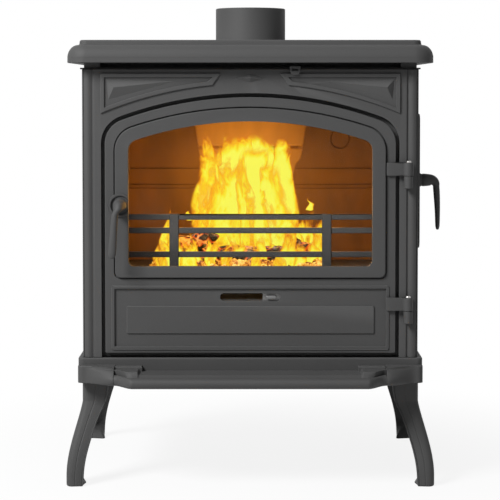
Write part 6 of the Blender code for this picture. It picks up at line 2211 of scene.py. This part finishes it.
@dataclass
class Fire(SubAssembly):
    """Embers, charred logs and flames on the hearth."""

    seed: int = 7
    bed: Triple = (0.178, 0.105, 0.325)
    bed_x: float = -0.018
    lumps: int = 74
    lump: Point = (0.007, 0.017)
    heap: Point = (0.018, 0.010)
    flame_foot: float = 0.012
    licks: int = 34
    lick_x: Point = (-0.185, 0.325)
    lick_y: Point = (0.105, 0.200)

    def ember_bed(self, rng: random.Random) -> None:
        """Heaps lumps of ember on the grate.

        Args:
            rng: Gives their places and sizes.
        """
        coal = GlowingCoal("glowing_coal").material()
        half, front, rear = self.bed
        floor = self.at.firebox_bottom
        for part in range(3):
            shape = bmesh.new()
            for _ in range(self.lumps):
                x = rng.uniform(-half, half)
                y = rng.uniform(front, rear)
                size = rng.uniform(*self.lump)
                heap = self.heap[0] * (1 - (x / half) ** 2) + self.heap[1] * math.sin(y * 40)
                z = floor + size * 0.5 + max(heap, 0.0) * rng.uniform(0.2, 1.0)
                made = bmesh.ops.create_icosphere(shape, subdivisions=2, radius=size)
                squash = Vector((rng.uniform(0.8, 1.5), rng.uniform(0.8, 1.3), rng.uniform(0.55, 0.85)))
                spin = Matrix.Rotation(rng.uniform(0, math.tau), 3, Vector((rng.random(), rng.random(), 1.0)))
                shift = Vector((rng.uniform(0, 50), 0.0, 0.0))
                for vert in made["verts"]:
                    rough = 1 + 0.45 * noise.noise(vert.co * 95 + shift)
                    p = spin @ (vert.co * squash) * rough
                    vert.co = Vector((self.bed_x + x + p.x, y + p.y, max(z + p.z, floor + SEAT)))
            self.shop.add(f"ember_bed_{part + 1}", to_mesh(shape, "embers"), "root", coal, (), 60)

    def log(self, a: Vector, b: Vector, radius: float, seed: float) -> Mesh:
        """Makes one charred log.

        Args:
            a: The middle of one end.
            b: The middle of the other end.
            radius: Its mean radius.
            seed: Sets its knots and chips.

        Returns:
            A closed mesh.
        """
        along = (b - a).normalized()
        side = along.cross(Vector((0.0, 0.0, 1.0))).normalized()
        up = side.cross(along)
        rings = []
        for i in range(45):
            share = i / 44
            shrink = math.sqrt(clamp(1 - abs(share * 2 - 1) ** 14)) * 0.9 + 0.1
            section = []
            for k in range(30):
                angle = math.tau * k / 30
                spot = Vector((math.cos(angle), math.sin(angle), share * 5.0 + seed))
                chip = noise.noise(spot * 1.5) * 0.22 + noise.noise(spot * 5.0) * 0.09
                block_edge = 0.06 * abs(math.sin(share * 34 + noise.noise(spot * 2) * 3))
                reach = radius * shrink * (1 + chip - block_edge)
                offset = side * reach * math.cos(angle) + up * reach * math.sin(angle)
                section.append(a.lerp(b, share) + offset)
            rings.append(section)
        return loft(rings)

    def logs(self) -> None:
        """Lays the logs of the fire on the embers."""
        wood = CharredWood("charred_wood").material()
        bottom = self.at.firebox_bottom
        places = (
            ("charred_log_rear", (-0.195, 0.285, bottom + 0.040), (0.150, 0.300, bottom + 0.044), 0.024),
            ("charred_log_front", (-0.190, 0.150, bottom + 0.030), (0.110, 0.175, bottom + 0.034), 0.020),
            ("charred_log_cross", (-0.120, 0.140, bottom + 0.060), (0.030, 0.300, bottom + 0.092), 0.021),
            ("charred_log_top", (0.140, 0.165, bottom + 0.032), (-0.020, 0.285, bottom + 0.088), 0.018),
        )
        for i, (name, a, b, radius) in enumerate(places):
            self.shop.add(name, self.log(Vector(a), Vector(b), radius, i * 7.3), "root", wood, (), 50)

    def sheets(self, rng: random.Random) -> list[tuple[str, Sheet, float, float]]:
        """Lists the flames.

        Args:
            rng: Gives the small ones their places.

        Returns:
            For each its kind, its sheet, how solid its middle is and how full it is all over.
        """
        foot = self.at.firebox_bottom + self.flame_foot
        found = [
            ("main", Sheet(-0.010, 0.255, foot, 0.230, 0.285, 0, 0.004), 1.90, 0.30),
            ("main", Sheet(-0.022, 0.235, foot, 0.215, 0.290, 6, -0.010), 1.60, 0.10),
            ("main", Sheet(-0.004, 0.200, foot, 0.145, 0.262, -8, 0.008), 1.90, 0.22),
            ("main", Sheet(-0.078, 0.225, foot, 0.085, 0.292, 4, -0.016), 1.30, -0.04),
            ("main", Sheet(0.058, 0.240, foot, 0.090, 0.285, -4, 0.012), 1.40, 0.04),
            ("main", Sheet(-0.040, 0.180, foot, 0.150, 0.225, 14, -0.010), 0.95, -0.06),
            ("main", Sheet(0.036, 0.190, foot, 0.120, 0.225, -20, 0.010), 1.00, -0.04),
            ("main", Sheet(-0.080, 0.220, foot, 0.100, 0.270, 30, -0.006), 0.95, -0.02),
            ("cross", Sheet(-0.025, 0.215, foot, 0.150, 0.255, 90, 0.0), 1.00, 0.00),
            ("cross", Sheet(-0.050, 0.215, foot, 0.150, 0.245, 55, 0.0), 0.95, -0.02),
            ("cross", Sheet(0.010, 0.215, foot, 0.150, 0.235, -55, 0.0), 0.95, -0.02),
            ("lone", Sheet(-0.180, 0.200, foot, 0.034, 0.150, 10, 0.008), 1.00, -0.02),
            ("lone", Sheet(0.112, 0.215, foot, 0.070, 0.130, -8, 0.010), 0.90, 0.0),
            ("lone", Sheet(0.142, 0.190, foot, 0.050, 0.125, 12, 0.012), 0.80, 0.0),
        ]
        start, run = self.lick_x
        for i in range(self.licks):
            x = start + run * (i + rng.uniform(0.1, 0.9)) / self.licks
            width, height = rng.uniform(0.026, 0.052), rng.uniform(0.060, 0.120)
            y, turn, lean = rng.uniform(*self.lick_y), rng.uniform(-30, 30), rng.uniform(-0.020, 0.020)
            sheet = Sheet(x, y, foot - 0.004, width, height, turn, lean)
            found.append(("lick", sheet, rng.uniform(0.80, 1.10), rng.uniform(-0.12, 0.04)))
        found.append(("loose", Sheet(0.124, 0.190, 0.538, 0.024, 0.034, 0, 0.004), 1.1, 0.08))
        found.append(("loose", Sheet(-0.128, 0.205, 0.515, 0.018, 0.032, 0, 0.004), 0.95, 0.0))
        return found

    def flames(self, rng: random.Random) -> None:
        """Makes every sheet of flame with a pattern of its own.

        Args:
            rng: Gives the small flames their places.
        """
        for i, (kind, sheet, core, fill) in enumerate(self.sheets(rng)):
            point, fall = (0.0, 0.66) if kind in ("main", "cross") else (0.9, 0.30)
            finish = Flame(f"flame_{i + 1:02d}", 3.1 * i + 0.7, core, fill, point, fall)
            name = f"{kind}_flame_{i + 1:02d}"
            self.shop.add(name, sheet.mesh(i * 1.7), "root", finish.material(), (), 180)

    def build(self) -> None:
        """Makes the fire."""
        rng = random.Random(self.seed)
        self.ember_bed(rng)
        self.logs()
        self.flames(rng)


# The studio


def background_rays(tree: bpy.types.NodeTree) -> bpy.types.NodeSocket:
    """Gives 1 to the rays that see the background: the camera's own, reflected and passed ones.

    Args:
        tree: The nodes that it is added to.

    Returns:
        The socket that gives it.
    """
    path = tree.nodes.new("ShaderNodeLightPath")
    seen = path.outputs["Is Camera Ray"]
    for ray in ("Is Glossy Ray", "Is Transmission Ray"):
        more = tree.nodes.new("ShaderNodeMath")
        more.operation = "MAXIMUM"
        tree.links.new(seen, more.inputs[0])
        tree.links.new(path.outputs[ray], more.inputs[1])
        seen = more.outputs[0]
    return seen


@dataclass
class Studio:
    """Floor, lamps, surroundings and camera."""

    place: Vector
    eye: Triple = (0.0041, -3.4267, 0.7937)
    lens: float = 124.47
    pitch: float = 2.7095
    shift: Point = (-0.0048, -0.16)

    def floor(self) -> None:
        """Lays a pale floor that keeps the shadow near the stove and runs out into white."""
        mesh = bpy.data.meshes.new("floor")
        mesh.from_pydata([(-9, -9, 0), (9, -9, 0), (9, 9, 0), (-9, 9, 0)], [], [(0, 1, 2, 3)])
        floor = bpy.data.objects.new("floor", mesh)
        bpy.context.scene.collection.objects.link(floor)
        shader = Shader("pale_floor")
        shader.dress(Base_Color=grey(0.86), Roughness=0.95, Specular_IOR_Level=0.1)
        away = shader.node("VectorMath", {"operation": "LENGTH"}, {0: shader.spot()}, "Value")
        seen = Signal(shader, background_rays(shader.tree))
        factor = (shader.step(away, 0.25, 1.10) * 0.12 + 0.88) * seen
        white = shader.tree.nodes.new("ShaderNodeEmission")
        white.inputs["Color"].default_value = (1.0, 1.0, 1.0, 1.0)
        blend = shader.tree.nodes.new("ShaderNodeMixShader")
        shader.tree.links.new(factor.socket, blend.inputs[0])
        shader.tree.links.new(shader.surface.outputs[0], blend.inputs[1])
        shader.tree.links.new(white.outputs[0], blend.inputs[2])
        shader.tree.links.new(blend.outputs[0], shader.tree.nodes["Material Output"].inputs["Surface"])
        mesh.materials.append(shader.material)

    def surroundings(self) -> None:
        """Sets a dim room that shows as white behind the stove and in its reflections."""
        world = bpy.data.worlds.new("room")
        bpy.context.scene.world = world
        world.use_nodes = True
        nodes, links = world.node_tree.nodes, world.node_tree.links
        back = nodes["Background"]
        back.inputs["Color"].default_value = (1.0, 1.0, 1.0, 1.0)
        level = nodes.new("ShaderNodeMapRange")
        level.inputs["To Min"].default_value = 0.03
        links.new(background_rays(world.node_tree), level.inputs["Value"])
        links.new(level.outputs["Result"], back.inputs["Strength"])

    @staticmethod
    def lamp(
        name: str, kind: str, spot: Vector, aim: Vector, power: float, size: float, tint: Colour
    ) -> None:
        """Hangs one lamp.

        Args:
            name: Its name.
            kind: AREA or POINT.
            spot: Where it hangs.
            aim: What it points at.
            power: Its power in watts.
            size: Its size, or its radius.
            tint: Its colour.
        """
        light = bpy.data.lights.new(name, kind)
        light.energy = power
        light.color = tint[:3]
        if kind == "AREA":
            light.size = size
        else:
            light.shadow_soft_size = size
        lamp = bpy.data.objects.new(name, light)
        lamp.location = spot
        lamp.rotation_euler = (aim - spot).to_track_quat("-Z", "Y").to_euler()
        bpy.context.scene.collection.objects.link(lamp)

    def lamps(self) -> None:
        """Hangs the key on the left, a faint rim behind and the fire's own light."""
        middle = Vector((0.0, 0.0, 0.5))
        plain, warm = (1.0, 1.0, 1.0, 1.0), (1.0, 0.47, 0.11, 1.0)
        self.lamp("key", "AREA", Vector((-2.24, -2.49, 3.02)), middle, 228.0, 1.3, plain)
        self.lamp("rim", "AREA", Vector((0.0, 2.1, 4.1)), middle, 8.0, 1.4, plain)
        for name, spot, power in (
            ("fire_front", (-0.015, 0.110, 0.625), 2.0),
            ("fire_left", (-0.165, 0.220, 0.545), 0.65),
            ("fire_right", (0.150, 0.220, 0.545), 0.65),
        ):
            self.lamp(name, "POINT", self.place + Vector(spot), middle, power, 0.05, warm)

    def camera(self) -> None:
        """Sets the camera that looks straight at the front, a little down."""
        data = bpy.data.cameras.new("photograph")
        data.lens = self.lens
        data.sensor_width = 36.0
        data.shift_x, data.shift_y = self.shift
        camera = bpy.data.objects.new("photograph", data)
        camera.location = self.place + Vector(self.eye)
        camera.rotation_euler = (math.radians(90 - self.pitch), 0.0, 0.0)
        bpy.context.scene.collection.objects.link(camera)
        bpy.context.scene.camera = camera

    def build(self) -> None:
        """Sets up the studio."""
        scene = bpy.context.scene
        scene.view_settings.view_transform = "Standard"
        self.floor()
        self.surroundings()
        self.lamps()
        self.camera()


def main() -> None:
    """Builds every sub-assembly in order, with its pieces reported."""
    logging.basicConfig(level=logging.INFO, format="%(message)s", stream=sys.stdout)
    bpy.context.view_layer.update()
    low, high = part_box("flue_spigot")
    at = Layout()
    place = Vector(((low.x + high.x) / 2, (low.y + high.y) / 2 - Top.flue[1], 0.0))
    # the liner's brown, its soot, and the colour of the firelight painted on it
    brown, sooty, firelight_colour = (0.225, 0.102, 0.020, 1.0), (0.070, 0.034, 0.009, 1.0), (0.80, 0.25, 0.022, 1.0)
    heart = tuple(place + Vector((-0.01, 0.30, 0.63)))
    finishes = {
        Slot.CAST: StovePaint("graphite_paint", 0.055, 0.62),
        Slot.DARK: FireIron("fire_iron", 0.050),
        Slot.LINER: HotLiner("heat_tinted_liner", brown, sooty, heart, firelight_colour, 0.25),
        Slot.STEEL: TurnedSteel("turned_steel", 0.45),
        Slot.SHEET: RolledSheet("rolled_sheet", 0.16),
        Slot.GLASS: StoveGlass("stove_glass"),
        Slot.ROPE: KnittedRope("knitted_rope"),
    }
    shop = Workshop(place, finishes)
    shop.dress_nodes()
    for kind in (Base, Legs, FrontCasting, Shell, Top, FrontDoor, Hinges, Slides):
        kind(shop, at).build()
    Handle(shop, at, Side.FRONT, 0.102, 4.0).build()
    Handle(shop, at, Side.LOADING, 0.102).build()
    for kind in (LoadingDoor, Firebox, Fire):
        kind(shop, at).build()
    Studio(place).build()


if __name__ == "__main__":
    main()
